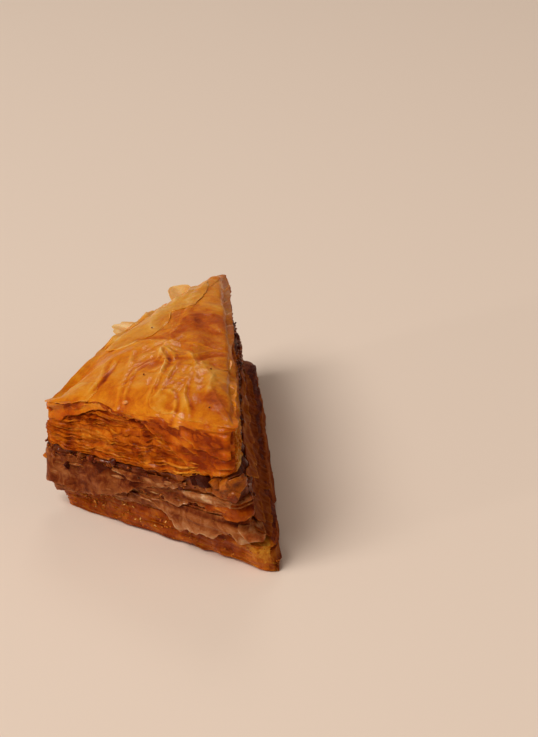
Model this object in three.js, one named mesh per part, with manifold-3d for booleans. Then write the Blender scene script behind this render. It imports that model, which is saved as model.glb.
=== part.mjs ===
// A triangular piece of baklava, the half of a rectangular portion that a diagonal cut leaves.
//
// Plan: the square corner stands at the left of the front edge, the front corner at its right, and
// the back corner at the far end. Six layers lie on each other: syrup-soaked bottom pastry, two pale
// steamed pastry layers with chopped nuts over each, and the crisp top stack with its glazed leaf.
// The upper layers have slid towards the left and the front, as a cut piece sags out of its tin.
//
// Frame: millimetres, +Z up, front edge along +X facing -Y, origin under the middle of the bounding
// box, at the face that the piece rests on.

import * as THREE from "three";
import { mergeVertices } from "three/addons/utils/BufferGeometryUtils.js";
import Module from "manifold-3d";

// ---- Driving dimensions ----

const FRONT_EDGE = 62.5; // the short cut side, from the square corner to the front corner
const LEFT_EDGE = 90; // the long tin side, from the square corner to the back corner
const LAYER_GAP = 0.3; // clear space kept between two layers that lie on each other

// Corner rounding in plan, by corner.
const CORNER_RADIUS = { square: 2.0, front: 3.2, back: 3.2 };

// The direction that the layers slid in, seen from above, as a unit vector.
const SLIDE_ANGLE = THREE.MathUtils.degToRad(213);
const SLIDE = new THREE.Vector2(Math.cos(SLIDE_ANGLE), Math.sin(SLIDE_ANGLE));

// Each layer, from the bottom up.
// thick: thickness at the square, front and back corners and in the middle of the front, cut and
//   left edges. foot and head: how far the corners of its underside and its top have slid.
// rows: bands of its cut sides. ledge: how far single bands stand out, and chunk: how far nuts do.
// columns: points round its outline. crimp: waviness of the bands in height.
const LAYERS = [
  {
    name: "bottom_pastry",
    colour: 0x8a3f12,
    roughness: 0.32,
    thick: { square: 7.1, front: 7.2, back: 6.4, frontMid: 8.5, cutMid: 6.8, leftMid: 6.6 },
    foot: { square: 0, front: -1.7, back: 1.4 },
    head: { square: 0.2, front: 1.0, back: 3.4 },
    rows: 4,
    ledge: 0.35,
    chunk: 0.3,
    crimp: 0,
    columns: 92,
  },
  {
    name: "lower_middle_pastry",
    colour: 0x9a6038,
    roughness: 0.38,
    thick: { square: 2.8, front: 7.6, back: 3.6, frontMid: 4.2, cutMid: 4.8, leftMid: 2.8 },
    foot: { square: 2.5, front: 4.6, back: 6.0 },
    head: { square: 3.0, front: 5.2, back: 6.6 },
    rows: 3,
    ledge: 0.4,
    chunk: 0.3,
    crimp: 0,
    columns: 84,
  },
  {
    name: "lower_filling",
    colour: 0x6e2f12,
    roughness: 0.5,
    thick: { square: 1.1, front: 1.8, back: 2.2, frontMid: 1.2, cutMid: 2.2, leftMid: 1.5 },
    foot: { square: 2.9, front: 5.1, back: 6.4 },
    head: { square: 3.2, front: 5.4, back: 6.8 },
    rows: 2,
    ledge: 0,
    chunk: 0.5,
    crimp: 0,
    columns: 84,
  },
  {
    name: "upper_middle_pastry",
    colour: 0x9c6a42,
    roughness: 0.38,
    thick: { square: 2.8, front: 3.8, back: 3.4, frontMid: 2.9, cutMid: 3.8, leftMid: 2.8 },
    foot: { square: 3.4, front: 5.4, back: 7.0 },
    head: { square: 3.8, front: 5.7, back: 7.6 },
    rows: 3,
    ledge: 0.4,
    chunk: 0.3,
    crimp: 0,
    columns: 84,
  },
  {
    name: "upper_filling",
    colour: 0x5f2a12,
    roughness: 0.5,
    thick: { square: 4.3, front: 9.0, back: 5.8, frontMid: 3.6, cutMid: 5.8, leftMid: 5.0 },
    foot: { square: 3.8, front: 5.8, back: 7.6 },
    head: { square: 4.2, front: 7.0, back: 8.6 },
    rows: 4,
    ledge: 0,
    chunk: 0.8,
    crimp: 0,
    columns: 88,
  },
  {
    name: "top_pastry",
    colour: 0xb8671f,
    roughness: 0.25,
    thick: { square: 10.4, front: 5.8, back: 9.2, frontMid: 12.4, cutMid: 10.0, leftMid: 13.8 },
    foot: { square: 4.9, front: 7.8, back: 9.2 },
    head: { square: 3.2, front: 8.0, back: 10.0 },
    rows: 14,
    ledge: 0.55,
    chunk: 0,
    crimp: 0.35,
    columns: 104,
  },
];

// The crown of the top stack: it rises from its rim to a nearly level middle. By side, the distance
// over which it does so, and how far the side leans in at its very top.
const CROWN_RISE = 4.2;
const CROWN_SLOPE = { front: 3.2, cut: 2.6, left: 6.0 };
const RIM_TUCK = { front: 1.6, cut: 2.4, left: 2.2 };

// Folds of the glazed leaf. Each runs from one place to another, in shares of the front edge and of
// the left edge, with its height and its width in millimetres.
const FOLDS = [
  { from: [0.3, 0.5], to: [0.1, 0.06], height: 0.9, width: 2.4 },
  { from: [0.34, 0.42], to: [0.26, 0.04], height: 0.8, width: 2.0 },
  { from: [0.42, 0.4], to: [0.5, 0.1], height: 1.0, width: 2.6 },
  { from: [0.3, 0.62], to: [0.02, 0.34], height: 0.8, width: 2.6 },
  { from: [0.46, 0.3], to: [0.72, 0.12], height: 0.8, width: 2.2 },
  { from: [0.4, 0.5], to: [0.62, 0.34], height: 0.7, width: 2.4 },
  { from: [0.3, 0.68], to: [0.44, 0.5], height: 0.9, width: 2.2 },
  { from: [0.06, 0.5], to: [0.2, 0.76], height: 0.6, width: 2.8 },
  { from: [0.12, 0.14], to: [0.02, 0.04], height: 0.6, width: 2.2 },
];

const FOLD_BEND = 1.6; // how far the middle of a fold bows to one side

// Torn leaf ends that stand out of the top stack. Each is a thin curled tongue: where it leaves the
// rim, in shares of the front and left edges, how far over the rim that is, the way it points in
// plan in degrees, its length and width, and how far its tip lifts.
const FLAKES = [
  { at: [0, 0.45], over: -2.0, points: 182, length: 8, width: 11, lift: 0.6 },
  { at: [0, 0.745], over: -1.4, points: 165, length: 8, width: 10, lift: 1.8 },
];
const FLAKE_THICKNESS = 0.7;
const FLAKE_STEPS = 6; // divisions along and across a flake
const FLAKE_ROOT = 0.45; // the share of its length that is inside the stack
const FLAKE_TAPER = 0.35; // how much narrower its tip is, as a share of its width
const FLAKE_WAVE = 0.35; // how far it ripples from side to side

// The roughness of the cut sides.
const CRIMP_LENGTH = 3.4; // the length of a wave of the bands
const LEDGE_LENGTH = 5.2; // the length that a ledge stands out over, and NIBBLE that of its teeth
const NIBBLE_LENGTH = 2.3;
const NUT_LENGTH = 2.6; // the size of a large nut bit, and CRUMB that of a small one
const CRUMB_LENGTH = 1.5;
const LIP = 0.35; // how much more the upper edge of a ledge stands out, as a share of the ledge

// Rings of the caps: shares of the way from the inner point to the rim.
const HIDDEN_RINGS = [0.62];
const CROWN_RINGS = [0.975, 0.94, 0.89, 0.83, 0.76, 0.68, 0.6, 0.51, 0.42, 0.33, 0.24, 0.14];

// ---- Plan ----

// The reference triangle, with the square corner at the origin.
const CORNERS = {
  square: new THREE.Vector2(0, 0),
  front: new THREE.Vector2(FRONT_EDGE, 0),
  back: new THREE.Vector2(0, LEFT_EDGE),
};
const CUT_EDGE = Math.hypot(FRONT_EDGE, LEFT_EDGE);
const PERIMETER = FRONT_EDGE + CUT_EDGE + LEFT_EDGE;
const INRADIUS = (FRONT_EDGE + LEFT_EDGE - CUT_EDGE) / 2;
const INNER_POINT = new THREE.Vector2(INRADIUS, INRADIUS);
const CORNER_ORDER = ["square", "front", "back"];
const SIDES = ["front", "cut", "left"];
const SIDE_NORMALS = {
  front: new THREE.Vector2(0, -1),
  cut: new THREE.Vector2(LEFT_EDGE, FRONT_EDGE).normalize(),
  left: new THREE.Vector2(-1, 0),
};
const ARC_STEPS = 4; // divisions of each rounded corner

// The shares of the square, front and back corners at a place in the plan.
function shares(x, y) {
  const front = x / FRONT_EDGE;
  const back = y / LEFT_EDGE;
  return { square: 1 - front - back, front, back };
}

// A value given at the three corners, at a place in the plan.
function spread(atCorners, x, y) {
  const share = shares(x, y);
  return CORNER_ORDER.reduce((sum, corner) => sum + atCorners[corner] * share[corner], 0);
}

// A layer's thickness at a place: linear between the corners, bowed to the middles of the edges.
function thickness(thick, x, y) {
  const share = shares(x, y);
  const bow = (mid, a, b) => 4 * share[a] * share[b] * (mid - (thick[a] + thick[b]) / 2);
  return (
    spread(thick, x, y) +
    bow(thick.frontMid, "square", "front") +
    bow(thick.cutMid, "front", "back") +
    bow(thick.leftMid, "square", "back")
  );
}

// The height of the underside of layer number index.
function levelHeight(index, x, y) {
  return LAYERS.slice(0, index).reduce((sum, layer) => sum + thickness(layer.thick, x, y), 0);
}

// The rounded outline of the reference triangle, anticlockwise from the square corner. Each point
// has its place, the outward normal there and how far round the outline it lies, from 0 to 1.
function outline(columns) {
  const arcs = CORNER_ORDER.map((name, i) => {
    const corner = CORNERS[name];
    const before = CORNERS[CORNER_ORDER[(i + 2) % 3]];
    const after = CORNERS[CORNER_ORDER[(i + 1) % 3]];
    const back = before.clone().sub(corner).normalize();
    const on = after.clone().sub(corner).normalize();
    const half = Math.acos(back.dot(on)) / 2;
    const radius = CORNER_RADIUS[name];
    const bisector = back.clone().add(on).normalize();
    const setback = radius / Math.tan(half);
    return {
      radius,
      middle: bisector.multiplyScalar(radius / Math.sin(half)).add(corner),
      start: back.clone().multiplyScalar(setback).add(corner),
      end: on.clone().multiplyScalar(setback).add(corner),
    };
  });
  const straights = arcs.map((arc, i) => arcs[(i + 1) % 3].start.distanceTo(arc.end));
  const straightLength = straights.reduce((sum, length) => sum + length, 0);
  const points = [];
  arcs.forEach((arc, i) => {
    const from = Math.atan2(arc.start.y - arc.middle.y, arc.start.x - arc.middle.x);
    const to = Math.atan2(arc.end.y - arc.middle.y, arc.end.x - arc.middle.x);
    const turn = (to - from + 2 * Math.PI) % (2 * Math.PI);
    for (let k = 0; k <= ARC_STEPS; k++) {
      const angle = from + (turn * k) / ARC_STEPS;
      const normal = new THREE.Vector2(Math.cos(angle), Math.sin(angle));
      points.push({ at: normal.clone().multiplyScalar(arc.radius).add(arc.middle), normal });
    }
    const next = arcs[(i + 1) % 3];
    const share = straights[i] / straightLength;
    const steps = Math.round((columns - 3 * (ARC_STEPS + 1)) * share) + 1;
    const normal = points[points.length - 1].normal;
    for (let k = 1; k < steps; k++) {
      points.push({ at: arc.end.clone().lerp(next.start, k / steps), normal });
    }
  });
  let run = 0;
  points.forEach((point, i) => {
    if (i > 0) run += point.at.distanceTo(points[i - 1].at);
    point.run = run / PERIMETER;
  });
  return points;
}

// ---- Roughness ----

// A fixed pseudo-random number between -1 and 1 for a whole-number pair.
function lattice(i, j) {
  const s = Math.sin(i * 127.1 + j * 311.7) * 43758.5453;
  return 2 * (s - Math.floor(s)) - 1;
}

// Smooth noise between -1 and 1 round the outline, with features of about one size, on track number
// seed. It meets itself where the outline closes.
function noise(point, size, seed) {
  const cells = Math.round(PERIMETER / size);
  const cell = Math.floor(point.run * cells);
  const t = point.run * cells - cell;
  const smooth = t * t * (3 - 2 * t);
  return lattice(cell % cells, seed) * (1 - smooth) + lattice((cell + 1) % cells, seed) * smooth;
}

// How far a layer's side stands out at an outline point, at a share of the layer's height. The side
// is a stack of ledges, each sharper at its upper edge, and nuts stand out between them.
function relief(layer, layerIndex, point, share) {
  const step = share * layer.rows * 0.5 + 0.25;
  const ledge = Math.floor(step);
  const lip = step - ledge > 0.4 ? LIP : -LIP;
  const seed = layerIndex * 17 + ledge;
  const wander = noise(point, LEDGE_LENGTH, seed) + 0.6 * noise(point, NIBBLE_LENGTH, seed + 5);
  const nuts = noise(point, NUT_LENGTH, seed + 31) + 0.5 * noise(point, CRUMB_LENGTH, seed + 47);
  return layer.ledge * (wander + lip) + layer.chunk * Math.max(-0.4, nuts);
}

// How far a place of the reference plan lies inside each side.
function depths(x, y) {
  return {
    front: y,
    cut: (FRONT_EDGE * LEFT_EDGE - x * LEFT_EDGE - y * FRONT_EDGE) / CUT_EDGE,
    left: x,
  };
}

// How far the crown stands over the rim at a place of the reference plan.
function crown(x, y) {
  const depth = depths(x, y);
  const reach = (side) => 1 - Math.exp(-Math.max(depth[side], 0) / CROWN_SLOPE[side]);
  return CROWN_RISE * reach("front") * reach("cut") * reach("left");
}

// The height of the folds of the glazed leaf at a place of the reference plan.
function folds(x, y) {
  let height = 0;
  for (const fold of FOLDS) {
    const from = new THREE.Vector2(fold.from[0] * FRONT_EDGE, fold.from[1] * LEFT_EDGE);
    const to = new THREE.Vector2(fold.to[0] * FRONT_EDGE, fold.to[1] * LEFT_EDGE);
    const run = to.clone().sub(from);
    const t = THREE.MathUtils.clamp(((x - from.x) * run.x + (y - from.y) * run.y) / run.lengthSq(), 0, 1);
    const bend = FOLD_BEND * Math.sin(Math.PI * t);
    const side = new THREE.Vector2(-run.y, run.x).normalize().multiplyScalar(bend);
    const near = from.clone().addScaledVector(run, t).add(side);
    const away = Math.hypot(x - near.x, y - near.y) / fold.width;
    height += fold.height * Math.exp(-away * away);
  }
  return height;
}

// ---- Layers ----

// Moves a place of the reference plan to where it lies once the layer has slid.
function slid(slide, home) {
  const far = spread(slide, home.x, home.y);
  return new THREE.Vector2(home.x + SLIDE.x * far, home.y + SLIDE.y * far);
}

// The height of the upper face of a layer over a place, which lay at home before the slide. It
// leaves the gap that the next layer needs, and only the top stack is crowned and folded.
function topFace(index, at, home) {
  const level = levelHeight(index + 1, at.x, at.y);
  if (index < LAYERS.length - 1) return level - LAYER_GAP;
  return level + crown(home.x, home.y) + folds(home.x, home.y);
}

// How far the side of the top stack leans in at its very top, by the way that it faces.
function tuck(normal) {
  const facing = (side) => Math.max(0, normal.dot(SIDE_NORMALS[side])) ** 2;
  const weights = SIDES.map(facing);
  const total = weights.reduce((sum, weight) => sum + weight, 0);
  return SIDES.reduce((sum, side, i) => sum + (RIM_TUCK[side] * weights[i]) / total, 0);
}

// A layer as one closed geometry: a rounded triangle whose sides are built band by band, closed by a
// cap of rings above and below.
function layerGeometry(index) {
  const layer = LAYERS[index];
  const points = outline(layer.columns);
  const isTop = index === LAYERS.length - 1;
  const positions = [];
  const faces = [];

  // The slide of the layer's corners at a share of its height.
  const slideAt = (share) =>
    Object.fromEntries(
      CORNER_ORDER.map((corner) => [
        corner,
        THREE.MathUtils.lerp(layer.foot[corner], layer.head[corner], share),
      ]),
    );
  // An outline point before the slide, moved out by the relief of the side at a share of its height.
  const rimPoint = (point, share) => {
    const out = relief(layer, index, point, share) - (isTop ? tuck(point.normal) * share ** 3 : 0);
    return point.at.clone().addScaledVector(point.normal, out);
  };
  const underside = (at) => levelHeight(index, at.x, at.y);
  const upperside = (at, home) => topFace(index, at, home);

  // One ring of vertices, and the number of its first one.
  const addRing = (slide, homeOf, heightOf) => {
    const first = positions.length / 3;
    for (const point of points) {
      const home = homeOf(point);
      const at = slid(slide, home);
      positions.push(at.x, at.y, heightOf(at, home, point));
    }
    return first;
  };
  // The faces between two rings. They face outwards where upper lies over lower, or inside it.
  const joinRings = (lower, upper) => {
    points.forEach((_, i) => {
      const next = (i + 1) % points.length;
      faces.push(lower + i, lower + next, upper + next, lower + i, upper + next, upper + i);
    });
  };

  const sideRings = [];
  for (let row = 0; row <= layer.rows; row++) {
    const share = row / layer.rows;
    const heightOf = (at, home, point) => {
      const wave = layer.crimp * noise(point, CRIMP_LENGTH, 71 + row) * Math.sin(Math.PI * share);
      return THREE.MathUtils.lerp(underside(at), upperside(at, home), share) + wave;
    };
    sideRings.push(addRing(slideAt(share), (point) => rimPoint(point, share), heightOf));
  }
  sideRings.slice(1).forEach((ring, row) => joinRings(sideRings[row], ring));

  // Closes the layer above or below, from a side ring to a point in the middle.
  const closeCap = (sideShare, rings, outermost, heightOf, faceUp) => {
    const slide = slideAt(sideShare);
    let outer = outermost;
    for (const share of rings) {
      const homeOf = (point) => INNER_POINT.clone().lerp(rimPoint(point, sideShare), share);
      const inner = addRing(slide, homeOf, heightOf);
      joinRings(faceUp ? outer : inner, faceUp ? inner : outer);
      outer = inner;
    }
    const middle = slid(slide, INNER_POINT);
    const apex = positions.length / 3;
    positions.push(middle.x, middle.y, heightOf(middle, INNER_POINT));
    points.forEach((_, i) => {
      const next = (i + 1) % points.length;
      faces.push(outer + (faceUp ? i : next), outer + (faceUp ? next : i), apex);
    });
  };
  closeCap(1, isTop ? CROWN_RINGS : HIDDEN_RINGS, sideRings[layer.rows], upperside, true);
  closeCap(0, HIDDEN_RINGS, sideRings[0], underside, false);

  const geometry = new THREE.BufferGeometry();
  geometry.setAttribute("position", new THREE.Float32BufferAttribute(positions, 3));
  geometry.setIndex(faces);
  return geometry;
}

// A torn leaf end: a thin tongue that starts inside the top stack and curls out of its rim.
function flakeGeometry(flake) {
  const geometry = new THREE.BoxGeometry(
    flake.length,
    flake.width,
    FLAKE_THICKNESS,
    FLAKE_STEPS,
    FLAKE_STEPS,
    1,
  );
  const position = geometry.getAttribute("position");
  const turn = THREE.MathUtils.degToRad(flake.points);
  const home = new THREE.Vector2(flake.at[0] * FRONT_EDGE, flake.at[1] * LEFT_EDGE);
  const root = slid(LAYERS[LAYERS.length - 1].head, home);
  const rootHeight = levelHeight(LAYERS.length, root.x, root.y) + flake.over;
  for (let i = 0; i < position.count; i++) {
    const out = position.getX(i) / flake.length + 0.5;
    const reach = (out - FLAKE_ROOT) * flake.length;
    const across = position.getY(i) * (1 - FLAKE_TAPER * out * out);
    const curl = (flake.lift + FLAKE_WAVE * Math.sin(across)) * out * out;
    position.setXYZ(
      i,
      root.x + reach * Math.cos(turn) - across * Math.sin(turn),
      root.y + reach * Math.sin(turn) + across * Math.cos(turn),
      rootHeight + position.getZ(i) + curl,
    );
  }
  return geometry;
}

// ---- Joining ----

const wasm = await Module();
wasm.setup();

// A closed geometry as a solid.
function solidOf(geometry) {
  const bare = geometry.clone();
  bare.deleteAttribute("normal");
  bare.deleteAttribute("uv");
  const merged = mergeVertices(bare, 1e-4);
  return new wasm.Manifold(
    new wasm.Mesh({
      numProp: 3,
      vertProperties: merged.getAttribute("position").array,
      triVerts: new Uint32Array(merged.index.array),
    }),
  );
}

// A solid back as a geometry.
function geometryOf(solid) {
  const mesh = solid.getMesh();
  const geometry = new THREE.BufferGeometry();
  geometry.setAttribute("position", new THREE.BufferAttribute(mesh.vertProperties, mesh.numProp));
  geometry.setIndex(new THREE.BufferAttribute(mesh.triVerts, 1));
  geometry.computeVertexNormals();
  return geometry;
}

// ---- The piece ----

const baklava = new THREE.Group();
LAYERS.forEach((layer, index) => {
  let solid = solidOf(layerGeometry(index));
  if (index === LAYERS.length - 1) {
    solid = FLAKES.reduce((joined, flake) => joined.add(solidOf(flakeGeometry(flake))), solid);
  }
  const material = new THREE.MeshStandardMaterial({
    color: layer.colour,
    roughness: layer.roughness,
    metalness: 0,
  });
  const mesh = new THREE.Mesh(geometryOf(solid), material);
  mesh.name = layer.name;
  baklava.add(mesh);
});

const bounds = new THREE.Box3().setFromObject(baklava);
const middle = bounds.getCenter(new THREE.Vector3());
baklava.position.set(-middle.x, -middle.y, -bounds.min.z);

export default baklava;
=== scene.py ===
"""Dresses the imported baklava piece: a glazed top leaf over crisp leaf edges, chopped walnuts in syrup
between pale steamed leaves, and a syrup-soaked base.

Each sub-assembly is a class whose fields are its sizes. Lengths in the classes are millimetres, in the
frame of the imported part, and a mesh is turned into metres as it is written. The form of every layer is
measured from its CAD node, so that what replaces the node keeps its place and shape.
"""

import logging
import math
from collections.abc import Callable, Sequence
from dataclasses import dataclass, replace
from enum import Enum
from itertools import product

import bpy
import numpy as np
from mathutils import Matrix, Vector
from mathutils.bvhtree import BVHTree


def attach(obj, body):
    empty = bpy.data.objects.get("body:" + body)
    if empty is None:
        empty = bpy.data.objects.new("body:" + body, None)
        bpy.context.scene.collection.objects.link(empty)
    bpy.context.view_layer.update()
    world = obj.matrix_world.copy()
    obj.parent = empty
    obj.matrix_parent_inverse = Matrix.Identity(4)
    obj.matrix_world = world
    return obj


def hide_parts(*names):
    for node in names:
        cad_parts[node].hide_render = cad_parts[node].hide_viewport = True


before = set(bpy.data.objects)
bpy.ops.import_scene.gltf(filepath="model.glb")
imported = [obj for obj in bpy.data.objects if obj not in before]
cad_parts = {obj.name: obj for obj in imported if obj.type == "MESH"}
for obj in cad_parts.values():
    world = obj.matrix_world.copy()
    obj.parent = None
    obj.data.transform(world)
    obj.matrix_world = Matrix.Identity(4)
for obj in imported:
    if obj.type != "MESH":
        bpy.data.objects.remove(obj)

logging.basicConfig(level=logging.INFO, format="%(name)s: %(message)s")
LOG = logging.getLogger("baklava")

Array = np.ndarray
Draw = np.random.Generator
Piece = bpy.types.Object
Place = Callable[[Array, Array], tuple[Array, Array]]
Point = tuple[float, float]
Spot = tuple[float, float, float]
ToneOf = Callable[[Array, Array | float], Array]

MM = 0.001
BODY = "root"
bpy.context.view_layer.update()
WELD = 0.001  # two vertices nearer than this become one, in millimetres
RESTS = 0.02  # the lowest place of a leaf over the surface that the piece stands on, in millimetres

FRONT: Point = (0.0, -1.0)
CUT: Point = (0.82, 0.57)
LEFT: Point = (-1.0, 0.0)
FRONT_CORNER: Point = (0.8, -0.6)
SQUARE_CORNER = 0.0  # the run where the front side and the long side meet


class Node(Enum):
    """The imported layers, from the bottom up."""

    BOTTOM = "bottom_pastry"
    LOWER_MIDDLE = "lower_middle_pastry"
    LOWER_FILLING = "lower_filling"
    UPPER_MIDDLE = "upper_middle_pastry"
    UPPER_FILLING = "upper_filling"
    TOP = "top_pastry"


class Slot(Enum):
    """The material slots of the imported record."""

    BAKED = "baked_pastry"
    PALE = "pale_pastry"
    NUTS = "nut_filling"
    SOAKED = "soaked_pastry"


# ---- Noise ----


def hashed(cells: Array, seed: int) -> Array:
    """Gives every whole-number cell, N x 3, a fixed value from -1 to 1, one of many sets by the seed."""
    spread = np.array([374761393, 668265263, 2246822519], np.uint32)
    mixed = (cells.astype(np.uint32) * spread).sum(1, dtype=np.uint32)
    mixed = (mixed ^ np.uint32(seed * 3266489917 % 2**32)) * np.uint32(2654435761)
    mixed = (mixed ^ (mixed >> np.uint32(15))) * np.uint32(2246822519)
    mixed = mixed ^ (mixed >> np.uint32(13))
    return mixed / 2.0**31 - 1


def noise(places: Array, size: float, seed: int) -> Array:
    """Smooth noise with features of about one size.

    Args:
        places: Places in millimetres, N x 3.
        size: The size of a feature in millimetres.
        seed: Picks one of many patterns.

    Returns:
        A value from -1 to 1 for each place.
    """
    cells = places / size + 1000
    corner = np.floor(cells)
    share = cells - corner
    share = share * share * (3 - 2 * share)
    total = np.zeros(len(places))
    for offset in product((0, 1), repeat=3):
        weight = np.where(offset, share, 1 - share).prod(1)
        total += weight * hashed(corner + offset, seed)
    return total


def fractal(places: Array, size: float, seed: int, octaves: int = 3) -> Array:
    """Noise whose features have finer ones on them, each octave of half the size of the one before."""
    layers = [noise(places, size / 2**k, seed + k) / 2**k for k in range(octaves)]
    return np.sum(layers, axis=0) / 1.4


def ease(low: float, high: float, values: Array) -> Array:
    """Rises smoothly from 0 where a value is low to 1 where it is high."""
    share = np.clip((values - low) / (high - low), 0, 1)
    return share * share * (3 - 2 * share)


def smooth_path(points: Sequence[Point], closed: bool = False, steps: int = 8) -> Array:
    """Runs a smooth curve through a few places.

    Args:
        points: The places in plan.
        closed: Whether the curve comes back to where it starts.
        steps: Divisions between two places.

    Returns:
        The places on the curve, N x 2.
    """
    places = np.array(points, float)
    if closed:
        padded = np.vstack([places[-1], places, places[:2]])
    else:
        padded = np.vstack([2 * places[0] - places[1], places, 2 * places[-1] - places[-2]])
    curve = []
    for before, start, end, after in zip(padded, padded[1:], padded[2:], padded[3:]):
        for t in np.arange(steps) / steps:
            bend = 2 * start + (end - before) * t
            bend += (2 * before - 5 * start + 4 * end - after) * t**2
            bend += (3 * start - before - 3 * end + after) * t**3
            curve.append(bend / 2)
    if not closed:
        curve.append(places[-1])
    return np.array(curve)


# ---- Meshes ----


def select_only(*pieces: Piece) -> None:
    """Selects nothing but these pieces, and makes the first of them active."""
    bpy.ops.object.select_all(action="DESELECT")
    for piece in pieces:
        piece.select_set(True)
    if pieces:
        bpy.context.view_layer.objects.active = pieces[0]


def mesh_places(piece: Piece) -> Array:
    """The places of a mesh's vertices, N x 3, in the mesh's own units."""
    places = np.zeros(len(piece.data.vertices) * 3, np.float32)
    piece.data.vertices.foreach_get("co", places)
    return places.reshape(-1, 3).astype(float)


def set_tone(mesh: bpy.types.Mesh, tone: Array) -> None:
    """Keeps how pale the pastry is at each vertex as an attribute, which the finishes read."""
    paleness = mesh.attributes.new("tone", "FLOAT", "POINT")
    paleness.data.foreach_set("value", np.clip(tone, 0, 1).astype(np.float32))


def shape(piece: Piece, name: str, places: Array, tone: Array) -> Piece:
    """Moves the vertices of a fresh primitive to their places.

    Args:
        piece: The primitive's object.
        name: The name that it gets.
        places: Where its vertices go, in millimetres.
        tone: How pale the pastry is at each vertex, from 0 to 1.

    Returns:
        The same object.
    """
    piece.name = piece.data.name = name
    piece.data.vertices.foreach_set("co", (places * MM).astype(np.float32).ravel())
    set_tone(piece.data, tone)
    piece.data.update()
    bpy.ops.object.shade_smooth()
    return piece


def weld() -> None:
    """Joins the vertices of the active mesh that lie in one place, and turns its faces outward."""
    bpy.ops.object.mode_set(mode="EDIT")
    bpy.ops.mesh.select_all(action="SELECT")
    bpy.ops.mesh.remove_doubles(threshold=WELD * MM)
    bpy.ops.mesh.normals_make_consistent(inside=False)
    bpy.ops.object.mode_set(mode="OBJECT")


def closed_body(name: str, columns: int, rows: int, place: Place) -> Piece:
    """Makes a closed body from a sphere.

    Args:
        name: The body's name.
        columns: Divisions round it.
        rows: Divisions from its lower pole to its upper one.
        place: Gives the place and tone for shares of the way round and of the way up.

    Returns:
        The body.
    """
    select_only()
    bpy.ops.mesh.primitive_uv_sphere_add(segments=columns, ring_count=rows, radius=1)
    piece = bpy.context.object
    unit = mesh_places(piece)
    turn = np.arctan2(unit[:, 1], unit[:, 0]) / (2 * np.pi) % 1
    rise = 0.5 + np.arcsin(np.clip(unit[:, 2], -1, 1)) / np.pi
    return shape(piece, name, *place(turn, rise))


def flat_grid(columns: int, rows: int) -> tuple[Piece, Array, Array]:
    """Adds a flat grid.

    Args:
        columns: Divisions along it.
        rows: Divisions across it.

    Returns:
        The grid, and each vertex's share of the way along it and across it.
    """
    select_only()
    bpy.ops.mesh.primitive_grid_add(x_subdivisions=columns, y_subdivisions=rows, size=2)
    piece = bpy.context.object
    unit = mesh_places(piece)
    return piece, (unit[:, 0] + 1) / 2, (unit[:, 1] + 1) / 2


def closed_band(name: str, columns: int, rows: int, place: Place) -> Piece:
    """Makes a band that runs round and meets itself, from a grid whose sides are joined.

    Args:
        name: The band's name.
        columns: Divisions along it.
        rows: Divisions round its section.
        place: Gives the place and tone for shares of the way along and round the section, where 0 is the
            outermost line and a quarter is the upper one.

    Returns:
        The band.
    """
    piece, along, across = flat_grid(columns, rows)
    shape(piece, name, *place(along % 1, across % 1))
    weld()
    return piece


def leaf_sheet(name: str, columns: int, rows: int, thickness: float, place: Place) -> Piece:
    """Makes a thin leaf from a grid. A leaf whose sides meet is joined there.

    Args:
        name: The leaf's name.
        columns: Divisions along its edge.
        rows: Divisions from its edge to its far side or middle.
        thickness: How thick the leaf is.
        place: Gives the place and tone for shares of the way along the edge and in from it.

    Returns:
        The leaf.
    """
    piece, along, across = flat_grid(columns, rows)
    shape(piece, name, *place(along, across))
    weld()
    wall = piece.modifiers.new("wall", "SOLIDIFY")
    wall.thickness = thickness * MM
    wall.offset = -1
    bpy.ops.object.modifier_apply(modifier=wall.name)
    return piece


def joined(name: str, parts: Sequence[Piece]) -> Piece:
    """Joins objects into the first one and names it."""
    select_only(*parts)
    bpy.ops.object.join()
    parts[0].name = parts[0].data.name = name
    return parts[0]


# ---- Measured forms ----


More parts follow.
